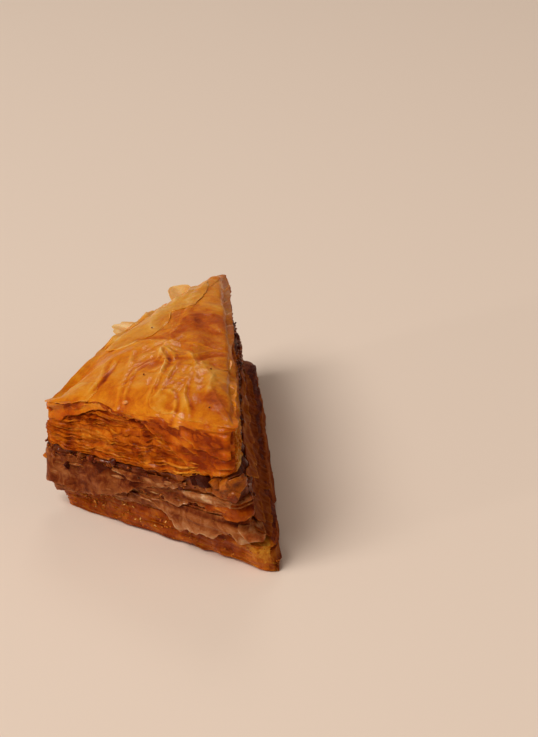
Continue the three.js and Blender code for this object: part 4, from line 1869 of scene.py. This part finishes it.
@dataclass
class SoakedBase:
    """The syrup-soaked bottom stack, glossy, with fine leaf lines and beads of syrup.

    Attributes:
        palette: The finishes.
        shapes: The nut bits, of which the beads and the painted glints are copies.
        core: Its body, edges, its leaf edges, and side_leaf, the leaf that sags down its cut side.
        tone: How pale it is.
        golden_corner: The place in plan of its golden corner, and golden_tone, how much paler it is there.
        cut_shade: How much paler it is on the cut side, upper_shade, near its top, and left_tone, at its
            left
        end. The first two are negative: a painted shade on the cut side and under the leaves above its top.
        beads: How many beads of syrup there are, and bead_sizes, half of their width.
        glint_flecks: How many pale bits there are that stand for glints on the front side, painted glints,
        glint_sizes, half of their width, and glint_shape, their stretch along each axis.
    """

    palette: Palette
    shapes: NutShapes
    core: LayerCore = LayerCore(
        columns=620, rows=52, inset=0.1, lines=10, line_tone=0.05, lumps=0.35, lump=4.0, sink=0.0, seed=5
    )
    edges: LeafEdges = LeafEdges(
        count=8, thickness=0.4, stand=-0.03, ragged=0.24, wave=0.24, ripple=4.0, curl=0.1, lowest=0.06,
        seed=6,
    )
    side_leaf: HangingLeaf = HangingLeaf(
        "base_side_leaf",
        ((0.8, 2.0), (4.0, 7.6), (30.0, 8.8), (60.0, 8.4), (80.0, 6.0), (90.0, 1.0)),
        top=0.98, out=0.16, wave=0.22, length=50.0, flow=24.0, streak=30.0, ragged=1.2, tone=0.42,
        columns=500, look=Look.SLUMPED, seed=341,
    )
    tone: float = 0.42
    golden_corner: Point = (34.0, -38.0)
    golden_tone: float = 0.28
    cut_shade: float = -0.28
    upper_shade: float = -0.14
    left_tone: float = 0.12
    beads: int = 320
    bead_sizes: Point = (0.1, 0.24)
    glint_flecks: int = 55
    glint_sizes: Point = (0.16, 0.4)
    glint_shape: Spot = (1.2, 0.7, 0.5)

    def _tone_at(self, places: Array, cut: Array, share: Array | float) -> Array:
        """The tone of the leaves: golden at the front corner, darkest on the cut side and darker along the
        top, both painted shade.

        Args:
            places: Places on the side.
            cut: Whether each is on the cut side, from 0 to 1.
            share: Their share of the height.

        Returns:
            The tone at each place.
        """
        away = np.hypot(*(places[:, :2] - self.golden_corner).T) + 3.0 * fractal(places, 5.0, 33)
        golden = 1 - ease(1.0, 11.0, away)
        # Painted shade: darker on the cut side, and along the top under the leaves above.
        cut_side = self.cut_shade * cut * (1 - 0.7 * golden)
        left_end = self.left_tone * (1 - ease(-26.0, -16.0, places[:, 0]))
        upper = self.upper_shade * ease(0.75, 1.0, share) * (1 - golden)
        streaked = 0.12 * fractal(places * (0.3, 0.3, 1.2), 3.0, 34)
        streaked += 0.1 * noise(places * (0.1, 0.1, 1.4), 1.0, 35)
        return self.tone + self.golden_tone * golden + left_end + cut_side + upper + streaked

    def _beads(self, form: LayerForm, draw: Draw) -> list[NutBit]:
        """Draws the beads of syrup, which lie all round the side."""
        beads = []
        for _ in range(self.beads):
            run, share = np.array([draw.uniform(0, 1)]), draw.uniform(0.1, 0.95)
            at = tuple(form.side(run, share, out=draw.uniform(-0.02, 0.22))[0])
            beads.append(drawn_bit(draw, at, draw.uniform(*self.bead_sizes), 0.15))
        return beads

    def _painted_glints(self, form: LayerForm, draw: Draw) -> list[NutBit]:
        """Draws the pale bits that stand for glints of light on the front side: painted glints."""
        glint_flecks = []
        for _ in range(self.glint_flecks):
            run = np.array([form.corner_run() - draw.uniform(4.0, 60.0) / form.perimeter])
            at = tuple(form.side(run, 1 - 0.9 * draw.uniform(0, 1) ** 1.5, out=draw.uniform(0.0, 0.15))[0])
            size, tone = draw.uniform(*self.glint_sizes), draw.uniform(0.0, 0.7)
            glint_flecks.append(replace(drawn_bit(draw, at, size, tone), stretch=self.glint_shape))
        return glint_flecks

    def build(self) -> None:
        """Makes the base and dresses it."""
        form = LayerForm(Node.BOTTOM)

        def tone_of(run: Array, share: Array | float) -> Array:
            """The tone at each run and share of the height."""
            return self._tone_at(form.side(run, share), form.on_side(run, CUT), share)

        dress = self.palette.dress
        dress(self.core.build("soaked_core", form, tone_of), Look.SOAKED, Slot.SOAKED, Node.BOTTOM)
        dress(self.edges.build("soaked_leaf_edges", form, tone_of), Look.SOAKED, Slot.SOAKED, Node.BOTTOM)
        draw = np.random.default_rng(31)
        beads = self.shapes.scatter("syrup_beads", self._beads(form, draw))
        dress(beads, Look.DROPLET, Slot.SOAKED, Node.BOTTOM)
        dress(self.side_leaf.build(form), self.side_leaf.look, Slot.SOAKED, Node.BOTTOM)
        # Pale bits standing for glints of light: painted glints.
        glint_flecks = self.shapes.scatter("painted_glint_flecks", self._painted_glints(form, draw))
        dress(glint_flecks, Look.PALE_LEAF, Slot.SOAKED, Node.BOTTOM)


# ---- Studio ----


def way_to(azimuth: float, elevation: float) -> Vector:
    """The direction towards a place round the object, from its angles in degrees."""
    turn, rise = math.radians(azimuth), math.radians(elevation)
    return Vector((math.sin(turn) * math.cos(rise), -math.cos(turn) * math.cos(rise), math.sin(rise)))


@dataclass(frozen=True)
class Lamp:
    """A soft square lamp that faces the object.

    Attributes:
        name: Its name.
        azimuth: Where it hangs round the object, and elevation, how high, in degrees.
        distance: How far it is from the object, and size, how wide it is, in metres.
        power: How strong it is, in watts.
        shade: The colour of its light.
    """

    name: str
    azimuth: float
    elevation: float
    distance: float
    size: float
    power: float
    shade: Spot

    def hang(self) -> None:
        """Hangs the lamp."""
        lamp = bpy.data.lights.new(self.name, "AREA")
        lamp.shape = "SQUARE"
        lamp.size = self.size
        lamp.energy = self.power
        lamp.color = self.shade
        holder = bpy.data.objects.new(self.name, lamp)
        way = way_to(self.azimuth, self.elevation)
        holder.location = way * self.distance
        holder.rotation_euler = way.to_track_quat("Z", "Y").to_euler()
        bpy.context.scene.collection.objects.link(holder)


@dataclass
class Studio:
    """A plain pale floor, soft light and the camera. Its lengths are metres and its angles degrees.

    Attributes:
        floor_size: How wide the floor is, and floor_shade, its colour.
        lamps: The lamps, sky_shade, the colour of the light from all round, and sky_power, its strength.
        camera_azimuth: Where the camera stands round its target, and camera_elevation, how high.
        camera_distance: How far it is from its target, and camera_target, the place that it faces.
        focal_share: Its focal length as a share of the picture's height.
        sensor: The height of its sensor in millimetres.
    """

    floor_size: float = 40.0
    floor_shade: tuple[int, int, int] = (228, 208, 191)
    camera_azimuth: float = 33.0
    camera_elevation: float = 26.0
    camera_distance: float = 0.484
    camera_target: Spot = (-0.02328, 0.05178, 0.0)
    focal_share: float = 1700 / 737
    sensor: float = 36.0
    lamps: tuple[Lamp, ...] = (
        Lamp("key_lamp", -25.0, 52.0, 2.4, 1.3, 51.0, (1.0, 0.97, 0.93)),
        Lamp("back_lamp", 215.0, 42.0, 2.4, 0.7, 5.0, (1.0, 0.94, 0.88)),
        Lamp("glint_lamp", -28.0, 14.0, 1.8, 0.14, 3.0, (1.0, 0.97, 0.93)),
        Lamp("fill_lamp", 105.0, 28.0, 1.8, 1.2, 4.0, (1.0, 0.74, 0.52)),
    )
    sky_shade: tuple[float, ...] = (1.0, 0.9, 0.8, 1.0)
    sky_power: float = 0.18

    def _floor(self) -> None:
        """Lays the floor."""
        select_only()
        bpy.ops.mesh.primitive_plane_add(size=self.floor_size)
        floor = bpy.context.object
        floor.name = "floor"
        material = bpy.data.materials.new("pale_floor")
        material.use_nodes = True
        nodes = ShaderNodes(material.node_tree)
        surface = nodes.add("BsdfPrincipled", Base_Color=srgb(*self.floor_shade), Roughness=0.75)
        nodes.add("OutputMaterial", Surface=surface.outputs[0])
        floor.data.materials.append(material)

    def _camera(self) -> None:
        """Sets up the camera."""
        camera = bpy.data.cameras.new("camera")
        camera.sensor_width = self.sensor
        camera.lens = self.focal_share * self.sensor
        camera.clip_start = 0.01
        holder = bpy.data.objects.new("camera", camera)
        way = way_to(self.camera_azimuth, self.camera_elevation)
        holder.location = Vector(self.camera_target) + way * self.camera_distance
        holder.rotation_euler = way.to_track_quat("Z", "Y").to_euler()
        bpy.context.scene.collection.objects.link(holder)
        bpy.context.scene.camera = holder

    def build(self) -> None:
        """Sets up the floor, the light and the camera."""
        scene = bpy.context.scene
        scene.view_settings.view_transform = "Standard"
        world = bpy.data.worlds.new("studio")
        world.use_nodes = True
        background = world.node_tree.nodes["Background"]
        background.inputs["Color"].default_value = self.sky_shade
        background.inputs["Strength"].default_value = self.sky_power
        scene.world = world
        self._floor()
        for lamp in self.lamps:
            lamp.hang()
        self._camera()


# ---- The piece ----

LOWER_EDGES = LeafEdges(count=3, thickness=0.7, ragged=0.65, wave=0.5, ripple=4.0, curl=0.5, seed=11)
UPPER_EDGES = LeafEdges(count=3, thickness=0.6, ragged=0.6, wave=0.5, ripple=3.6, curl=0.5, seed=12)
LOWER_LEAVES = (
    HangingLeaf(
        "fringe",
        ((-34, 0.3), (-27, 1.2), (-21, 3.2), (-17.5, 6.4), (-11.5, 6.6), (-4.5, 4.6), (-1, 6), (1, 5.4)),
        top=0.98, out=0.35, spread=0.3, wave=0.42, length=9.0, ragged=1.3, tone=0.28, foot_tone=0.3,
        thickness=0.3, flow=5.0, streak=6.0, seed=311,
    ),
    HangingLeaf(
        "corner_drape",
        ((-1.6, 1), (0, 3), (2, 3.8), (4, 3.2), (6.5, 0.6)),
        top=0.75, out=0.2, spread=2.6, length=5.0, tone=0.34, foot_tone=0.24, columns=160, flow=3.2,
        seed=312,
    ),
    HangingLeaf(
        "cut_side_slump",
        ((2, 1), (4.5, 4.2), (12, 4.6), (40, 4.4), (66, 4), (78, 2.4), (90, 0.2)),
        top=0.7, out=0.2, spread=4.0, wave=0.3, length=60.0, ragged=0.6, tone=0.4, columns=500, flow=26.0,
        streak=45.0, look=Look.SLUMPED, seed=321,
    ),
    HangingLeaf(
        "cut_side_fold",
        ((3, 1), (6, 3), (20, 2.4), (44, 3.4), (68, 2.4), (80, 1), (88, 0.2)),
        top=0.95, out=0.4, spread=2.0, wave=0.3, length=60.0, ragged=0.8, tone=0.46, columns=500,
        flow=26.0, streak=45.0, look=Look.SLUMPED, seed=322,
    ),
    HangingLeaf(
        "left_fringe",
        ((-60, 4), (-54, 5), (-47, 3.4), (-40, 2.2), (-34, 1.6)),
        top=0.95, out=0.25, wave=0.3, length=6.0, ragged=0.6, tone=0.34, thickness=0.3, flow=3.2, seed=313,
    ),
)
LOWER_FLOWS = (
    HangingLeaf(
        "lower_moist_leaf",
        ((-60, 2), (-52, 2.2), (-44, 1.8), (-38, 2), (-32, 0.6)),
        out=0.25, wave=0.2, length=5.0, ragged=0.4, tone=0.28, thickness=0.25, flow=2.0, seed=332,
    ),
)
UPPER_LEAVES = (
    HangingLeaf(
        "upper_fringe",
        ((-44, 0.4), (-36, 2), (-30, 3.6), (-24, 3.8), (-16, 4.2), (-9, 2.4), (-3, 1.4)),
        out=0.35, wave=0.4, length=6.0, ragged=0.8, tone=0.46, thickness=0.3, flow=3.2, seed=314,
    ),
    HangingLeaf(
        "golden_fringe",
        ((-15, 0.3), (-11, 2.4), (-7, 3.6), (-3, 4.6), (0, 4.4), (2, 3), (4, 0.8)),
        top=0.85, out=0.2, spread=0.7, wave=0.4, length=5.0, ragged=1.0, tone=0.36, thickness=0.3,
        flow=3.2, look=Look.SOAKED, seed=315,
    ),
)
CHUNKS = (
    Chunk(20, 21.8, 2.1, 0.15, out=0.6, dark=True),
    Chunk(17.6, 21.4, 1.5, 0.1, out=0.5, dark=True),
    Chunk(18.2, 23, 1.2, 0.3, out=0.5, dark=True),
    Chunk(13.8, 20.6, 1.5, 0.5, out=0.1),
    Chunk(22.6, 22, 2.2, 0.6, out=-0.1),
    Chunk(26.6, 22.2, 2.2, 0.62, out=-0.1),
    Chunk(28.8, 20.4, 1.9, 0.5, out=-0.2),
    Chunk(27.8, 20, 1.4, 0.8, out=1.1, dark=True),
    Chunk(21.2, 20, 1.1, 0.6, out=0.1),
    Chunk(-5.9, 19, 1.2, 0.3, dark=True),
    Chunk(-12.5, 17.6, 1, 0.5, dark=True),
    Chunk(-20.1, 13.4, 1, 0.15, out=1.1, dark=True),
    Chunk(-27, 13.6, 0.9, 0.7, out=0.6),
)
UPPER_FLOWS = (
    HangingLeaf(
        "moist_leaf",
        ((-62, 8), (-56, 9.2), (-48, 9.4), (-42, 8.6), (-36, 7.2), (-30, 4.8), (-23, 2.6), (-15, 0.3)),
        top=0.6, out=0.3, spread=0.3, wave=0.3, length=8.0, ragged=0.9, tone=0.18, foot_tone=0.08,
        thickness=0.25, flow=1.4, streak=3.0, seed=331,
    ),
    HangingLeaf(
        "cut_side_smear",
        ((3, 0.3), (9, 2.6), (16, 3.4), (32, 2.8), (50, 2), (66, 0.2)),
        top=0.98, out=0.15, spread=1.6, wave=0.3, length=60.0, ragged=0.8, tone=0.55, columns=400,
        flow=26.0, streak=45.0, look=Look.SLUMPED, seed=335,
    ),
    HangingLeaf(
        "golden_paste",
        ((-12.6, 0.4), (-11.4, 2.6), (-8, 4), (-2, 4.2), (0.5, 3.8), (3, 1.4)),
        top=0.93, out=0.2, wave=0.42, ragged=0.35, tone=0.48, thickness=0.3, flow=1.2, streak=1.6,
        look=Look.WALNUT, seed=334,
    ),
    HangingLeaf(
        "filling_flow",
        ((-36, 0.3), (-31, 2), (-25, 2.6), (-19, 2.2), (-14, 0.5)),
        top=0.5, out=0.3, wave=0.3, length=5.0, ragged=0.6, tone=0.38, thickness=0.25, flow=3.0, seed=333,
    ),
)


def main() -> None:
    """Builds the piece from the base up, and the studio."""
    palette = Palette()
    shapes = NutShapes()
    SoakedBase(palette, shapes).build()
    PaleLayer("lower_pale", Node.LOWER_MIDDLE, palette, LOWER_EDGES, 11, LOWER_LEAVES).build()
    Filling(
        "lower_filling", Node.LOWER_FILLING, palette, shapes, 300, (0.3, 0.8), 21, (), LOWER_FLOWS
    ).build()
    PaleLayer("upper_pale", Node.UPPER_MIDDLE, palette, UPPER_EDGES, 12, UPPER_LEAVES).build()
    Filling(
        "upper_filling", Node.UPPER_FILLING, palette, shapes, 620, (0.3, 1.3), 22, CHUNKS, UPPER_FLOWS
    ).build()
    TopStack(LayerForm(Node.TOP, rim_share=0.75), palette, shapes).build()
    Studio().build()


if __name__ == "__main__":
    main()
